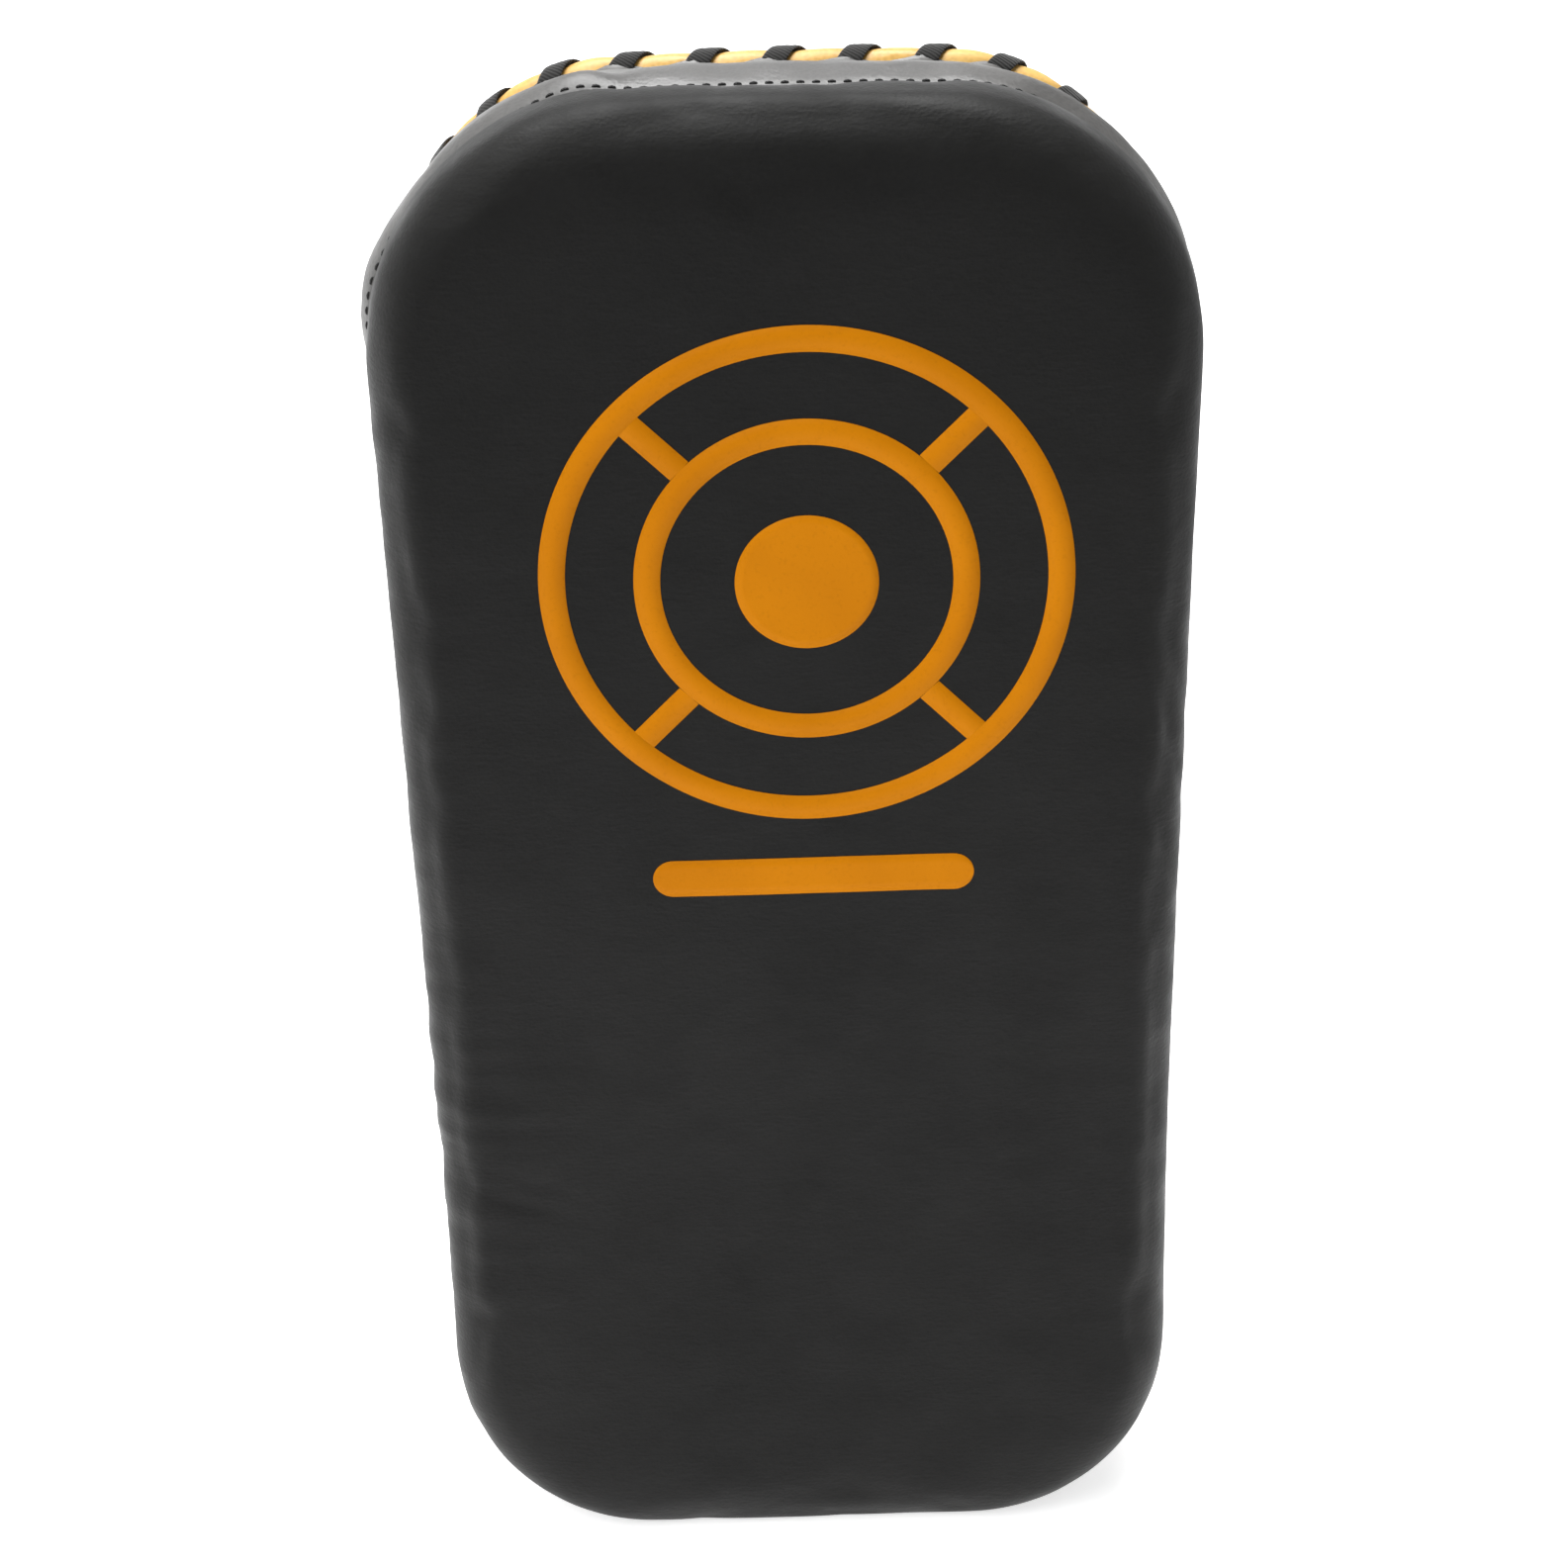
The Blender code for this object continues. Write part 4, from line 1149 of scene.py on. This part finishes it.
def build_band(prefix, matrix, section):
    """The long strap over the arch, its stitching and the quilted cushion under it."""
    floor = GAP + STRAP_THICKNESS / 2
    path = [(-FOOT_END, floor), (-CUFF_SIDE - FOLD_RADIUS - 0.001, floor)]
    path += arc((-CUFF_SIDE - FOLD_RADIUS, floor + FOLD_RADIUS), FOLD_RADIUS, -85, 0, 8)
    path += cuff_curve(0.0, 180, 0, 60) + arc((CUFF_SIDE, CUFF_SHOULDER), STRAP_FOLD, 190, 262, 8)
    path = dense(path, 0.004)
    band = swept(prefix + "_cuff_band", matrix, path, section, "strap", 0.15)
    fit(band, "pad", "strap_leather", prefix + "_cuff_strap")
    rows = strap_threads(matrix, path[:-8], STRAP_THICKNESS / 2 + 0.0001)
    sew(prefix + "_band_stitches", rows, "pad", "strap_leather")

    path = cuff_curve(-(STRAP_THICKNESS + CUFF_PAD_THICKNESS) / 2 - GAP, 173, 17, 90)
    pad_section = rounded_section(CUFF_PAD_WIDTH, CUFF_PAD_THICKNESS - 0.0012, 0.0006, 0.0029)
    cushion = swept(prefix + "_cuff_cushion", matrix, path, pad_section, "strap", 0.0, quilt)
    fit(cushion, "pad", "grey_foam", prefix + "_cuff_pad")


def build_tongue(prefix, matrix, section, lift):
    """The strap end that folds back round the ring."""

    def offset(angle):
        return lift + (2 * STRAP_FOLD - lift) * max(0.0, 1 - angle / 30) ** 2

    path = arc((CUFF_SIDE, CUFF_SHOULDER), STRAP_FOLD, -98, 0, 12) + cuff_curve(offset, 5, 96, 44)
    path = dense(path, 0.003)
    tongue = swept(prefix + "_strap_tongue", matrix, path, section, "strap", 0.2, tapered)
    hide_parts(prefix + "_tongue")
    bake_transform(tongue)
    rows = strap_threads(matrix, path[12:-8], -STRAP_THICKNESS / 2 - 0.0001)
    sew(prefix + "_tongue_stitches", rows, prefix + "_tongue", "strap_leather")


def build_keeper(prefix, matrix):
    """The doubled strip that holds the ring's low bar."""
    under = GAP + KEEPER_PLY / 2
    upper = under + KEEPER_PLY + GAP
    loop = RING_WIRE + GAP + KEEPER_PLY / 2
    outer = CUFF_SIDE + loop
    inner = CUFF_SIDE - loop
    path = [(FOOT_END, upper), (outer + FOLD_RADIUS + 0.001, upper)]
    path += arc((outer + FOLD_RADIUS, upper + FOLD_RADIUS), FOLD_RADIUS, 265, 180, 8)
    path += arc((CUFF_SIDE, RING_LOW_BAR), loop, 0, 180, 14)
    path += arc((inner + FOLD_RADIUS, under + FOLD_RADIUS), FOLD_RADIUS, 180, 265, 8)
    path += [(inner + FOLD_RADIUS + 0.001, under), (FOOT_END, under)]
    section = rounded_section(KEEPER_WIDTH, KEEPER_PLY - 0.0001, 0.0, 0.0007)
    keeper = swept(prefix + "_keeper_band", matrix, dense(path, 0.003), section, "strap", 0.2)
    fit(keeper, "pad", "strap_leather", prefix + "_ring_keeper")


def build_cuff(prefix):
    matrix = on_back(CUFF_HEIGHTS[prefix])
    section = rounded_section(STRAP_WIDTH, STRAP_THICKNESS - 0.0002, 0.00012, 0.0012)
    loop_lift = STRAP_THICKNESS / 2 + GAP + TOUCH_TAPE / 2
    hook_lift = loop_lift + TOUCH_TAPE + GAP
    tongue_lift = hook_lift + TOUCH_TAPE / 2 + GAP + STRAP_THICKNESS / 2
    build_band(prefix, matrix, section)
    tape = rounded_section(STRAP_WIDTH - 0.006, TOUCH_TAPE, 0.0, 0.0006)
    path = cuff_curve(loop_lift, 150, 32, 60)
    loops = swept(prefix + "_loop_tape", matrix, path, tape, "loop_tape", shape=ragged)
    fit(loops, "pad", "touch_tape", prefix + "_loop_patch")
    build_tongue(prefix, matrix, section, tongue_lift)
    tape = rounded_section(STRAP_WIDTH - 0.008, TOUCH_TAPE, 0.0, 0.0006)
    hooks = swept(prefix + "_hook_tape", matrix, cuff_curve(hook_lift, 48, 89, 30), tape, "hook_tape")
    fit(hooks, prefix + "_tongue", "touch_tape", prefix + "_hook_patch")
    build_keeper(prefix, matrix)
    build_ring(prefix, matrix)
    strap_seat = STRAP_THICKNESS + 2 * GAP
    keeper_seat = 2 * KEEPER_PLY + 3 * GAP
    for side, seat, label in ((-1, strap_seat, "anchor"), (1, keeper_seat, "keeper")):
        for k, up in enumerate((CUFF_RIVET_UP, -CUFF_RIVET_UP)):
            build_rivet(f"{prefix}_{label}_rivet_{k + 1}", matrix, side * CUFF_RIVET_ACROSS, up, seat)


# ---------------------------------------------------------------- the handle
def around_patch(inset, corner, count):
    low = HANDLE_HEIGHT - PATCH_HALF_HEIGHT + inset
    high = HANDLE_HEIGHT + PATCH_HALF_HEIGHT - inset
    return evenly_round(rounded_walk(PATCH_HALF_WIDTH - inset, low, high, corner, corner), count)


def build_handle_patch():
    count = 120
    base = around_patch(0.0, 0.011, count)
    low = PAD_DEPTH + GAP
    top = low + PATCH_THICKNESS
    edge = 0.0040
    profile = ((0.0004, 0.0), (0.0, 0.0006), (0.0, 0.0013), (0.0005, 0.0018), (0.0012, PATCH_THICKNESS))
    rings = [inset_ring(base, inset, low + rise) for inset, rise in (*profile, (edge, PATCH_THICKNESS))]
    for share in (0.2, 0.4, 0.6, 0.8, 0.95):
        x, z = inward(base, edge, share, HANDLE_HEIGHT, HANDLE_HEIGHT, 0.055)
        rings.append(place(x, top, z))
    faces = grid_faces(len(rings), count) + strip_cap(count, 0) + strip_cap(count, (len(rings) - 1) * count)
    # the backing takes the side leather, whose colours are raised as painted sheen for the gusset
    patch = mesh_object("handle_backing", np.concatenate(rings), faces, finish_of["side"], SHARP_ANGLE)
    set_wear_and_shade(patch, 0.1)
    fit(patch, "pad", "side_leather", "handle_patch")
    rows = []
    border = around_patch(0.004, 0.008, 208)
    for a, b in zip(border[::2], border[1::2]):
        b = a + (b - a) * 1.25
        rows.append((place(a[0], top + 0.0001, a[1]), place(b[0], top + 0.0001, b[1]), (0.0, 1.0, 0.08)))
    sew("handle_backing_stitches", rows, "pad", "side_leather")


def build_handle_loops(matrix):
    """Two leather loops round the grip's bar."""
    ply = TAB_PLY / 2 + GAP / 2
    low = PATCH_THICKNESS + 2 * GAP + TAB_PLY / 2
    loop = CORE_RADIUS + GAP + TAB_PLY / 2
    right = [(0.030, low), (ply + TAB_BEND + 0.0006, low)]
    right += arc((ply + TAB_BEND, low + TAB_BEND), TAB_BEND, 262, 180, 7)
    right.append((ply, GRIP_LIFT - 0.0125))
    path = right + arc((0.0, GRIP_LIFT), loop, -70, 250, 36) + [(-u, v) for u, v in reversed(right)]
    path = dense(path, 0.0025)
    section = rounded_section(TAB_WIDTH, TAB_PLY - 0.0001, 0.0, 0.0007)
    seat = PATCH_THICKNESS + TAB_PLY + 3 * GAP
    for side, label in ((-1, "left"), (1, "right")):
        across = side * TAB_ACROSS
        tab = swept(f"handle_loop_{label}", matrix, path, section, "strap", 0.25, shift=across)
        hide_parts("handle_tab_" + label, "handle_foot_" + label)
        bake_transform(tab)
        for k, up in enumerate((HANDLE_RIVET_UP, -HANDLE_RIVET_UP)):
            build_rivet(f"handle_{label}_rivet_{k + 1}", matrix, across, up, seat)


def turned(name, matrix, profile, sides, kind, slot, node, seam=0.0):
    """A round piece along the grip from (across, radius) rows, with a sewn ridge of height seam."""
    points = []
    for x, radius in profile:
        for k, (c, s) in enumerate(spokes(sides)):
            off = (2 * math.pi * k / sides - math.radians(270) + math.pi) % (2 * math.pi) - math.pi
            ridge = seam * near(off, 0.10) - 0.6 * seam * near(off, 0.035)
            r = radius + (ridge if radius > 0.010 else 0.0)
            points.append(matrix @ Vector((x, GRIP_LIFT + r * s, r * c)))
    item = mesh_object(name, points, tube_faces(len(profile), sides), finish_of[kind], SHARP_ANGLE)
    return fit(item, "handle", slot, node)


def build_grip(matrix):
    """The bar and its stitched sleeve."""
    rod = [(-CORE_HALF, 0.0055), (-CORE_HALF + 0.0006, 0.0064), (-CORE_HALF + 0.0015, CORE_RADIUS)]
    rod.append((-0.03, CORE_RADIUS))
    rod += [(-x, radius) for x, radius in reversed(rod)]
    turned("grip_bar", matrix, rod, 40, "rod", "grip_rod", "grip_core")
    end = [(-GRIP_HALF, 0.0074), (-GRIP_HALF - 0.0002, 0.0100), (-GRIP_HALF + 0.0004, 0.0128)]
    end += [(-GRIP_HALF + 0.0016, 0.0143), (-GRIP_HALF + 0.0036, GRIP_RADIUS)]
    half = 0.041
    sleeve = list(end)
    for k in range(25):
        x = -half + 2 * half * k / 24
        sleeve.append((x, GRIP_RADIUS - 0.0002 + 0.0007 * math.cos(x / half * math.pi / 2)))
    sleeve += [(-x, radius) for x, radius in reversed(end)]
    grip = turned("grip_sleeve", matrix, sleeve, 64, "strap", "strap_leather", "grip_wrap", 0.0007)
    set_wear_and_shade(grip, 0.2)
    rows = []
    for i in range(21):
        x = -0.043 + 0.086 * i / 20
        ends = [matrix @ Vector((x + step, GRIP_LIFT - 0.01585, 0.0)) for step in (-0.0013, 0.0013)]
        rows.append((*ends, matrix.to_3x3() @ Vector((0, -1, 0))))
    sew("grip_stitches", rows, "handle", "strap_leather")


def build_handle():
    matrix = on_back(HANDLE_HEIGHT)
    build_handle_patch()
    build_handle_loops(matrix)
    build_grip(matrix)


# ---------------------------------------------------------------- what shows of the CAD itself
def finish_cad_nodes():
    kinds = {
        "foam": ("foam_impact_layer", "foam_core_layer", "foam_rear_layer", "edge_roll_core",
                 "forearm_pad_foam", "grip_foam"),
        "board": ("stiffener_board",),
    }
    for kind, names in kinds.items():
        for name in names:
            nodes[name].data.materials.clear()
            nodes[name].data.materials.append(finish_of[kind])


# ---------------------------------------------------------------- camera, floor and light
LIGHTS = (
    # name, place, aim, size, watts
    ("key", (-1.3, -1.5, 2.2), (0.0, 0.0, 0.25), 1.8, 35.0),
    ("top", (-0.2, 0.2, 2.6), (0.0, 0.0, 0.30), 2.0, 100.0),
)
WORLD_LIGHT = 0.30
FLOOR_DROP = 0.0002
LENS = 65.87
CAMERA_TARGET = (-0.0029, -0.0440, 0.2158)
CAMERA_DISTANCE = 0.7587
CAMERA_ELEVATION = math.radians(23.66)
CAMERA_ROLL = math.radians(1.60)


def build_stage():
    """A pale round sweep that glows as painted light: white behind the pad, falling to a light grey of painted
    shade in front and to the right.
    """
    n = Nodes("studio_floor")
    parts = n.add("SeparateXYZ", {"Vector": n.where})
    x, y = parts.outputs["X"], parts.outputs["Y"]
    behind = n.math("POWER", n.between(y, 0.0, 1.0, -1.60, -0.11), 6.0)
    aside = n.math("SUBTRACT", x, n.math("MULTIPLY", y, 0.32))
    beside = n.math("POWER", n.between(aside, 1.0, 0.0, 0.34, 1.30), 6.0)
    painted_light = n.math("MULTIPLY", behind, beside, True)
    # painted light and shade: the floor glows though it is no lamp, less in front and to the right
    n.feed(n.shader.inputs["Emission Strength"], n.between(painted_light, 0.09, 0.66))
    n.feed(n.shader.inputs["Emission Color"], (1.0, 1.0, 1.0))
    colour = n.mix(painted_light, *greys(0.56, 0.90))
    floor = n.finish(colour, n.between(n.noise(1.5), 0.88, 0.95), Specular_IOR_Level=0.05)
    turns = [math.radians(9 * k) for k in range(1, 11)]
    profile = [(radius, 0.0) for radius in (0.02, 0.3, 0.8, 1.6, 3.0, 5.0)]
    profile += [(5.0 + 2.0 * math.sin(a), 2.0 - 2.0 * math.cos(a)) for a in turns] + [(7.0, 6.0)]
    sides = 72
    points = [(radius * c, radius * s, height - FLOOR_DROP)
              for radius, height in profile for c, s in spokes(sides)]
    faces = grid_faces(len(profile), sides)
    faces.append(list(range(sides)))
    mesh_object("studio_sweep", points, faces, floor)

    world = bpy.data.worlds.new("studio")
    world.use_nodes = True
    background = world.node_tree.nodes["Background"]
    background.inputs["Color"].default_value = (0.97, 0.985, 1.0, 1.0)
    background.inputs["Strength"].default_value = WORLD_LIGHT
    bpy.context.scene.world = world

    for name, spot, aim, size, power in LIGHTS:
        lamp = bpy.data.lights.new(name, "AREA")
        lamp.shape = "SQUARE"
        lamp.size = size
        lamp.energy = power
        item = bpy.data.objects.new(name, lamp)
        bpy.context.collection.objects.link(item)
        item.location = spot
        item.rotation_mode = "QUATERNION"
        item.rotation_quaternion = (Vector(aim) - Vector(spot)).to_track_quat("-Z", "Y")


def build_camera():
    camera = bpy.data.cameras.new("view")
    camera.sensor_width = 36.0
    camera.lens = LENS
    camera.dof.use_dof = False
    camera.clip_start = 0.05
    camera.clip_end = 60.0
    item = bpy.data.objects.new("view", camera)
    bpy.context.collection.objects.link(item)
    gaze = Vector((0.0, math.cos(CAMERA_ELEVATION), -math.sin(CAMERA_ELEVATION)))
    item.location = Vector(CAMERA_TARGET) - gaze * CAMERA_DISTANCE
    item.rotation_mode = "QUATERNION"
    roll = Matrix.Rotation(CAMERA_ROLL, 3, gaze).to_quaternion()
    item.rotation_quaternion = roll @ gaze.to_track_quat("-Z", "Y")
    bpy.context.scene.camera = item


cover_item, gusset_item = build_case()
build_seam_stitches(gusset_item)
build_roll()
build_lacing()
build_print(cover_item)
build_back_skin()
build_forearm_rest()
build_handle()
for cuff in CUFF_HEIGHTS:
    build_cuff(cuff)
finish_cad_nodes()
build_stage()
build_camera()
scene = bpy.context.scene
scene.view_settings.view_transform = "Standard"
scene.view_settings.look = "None"
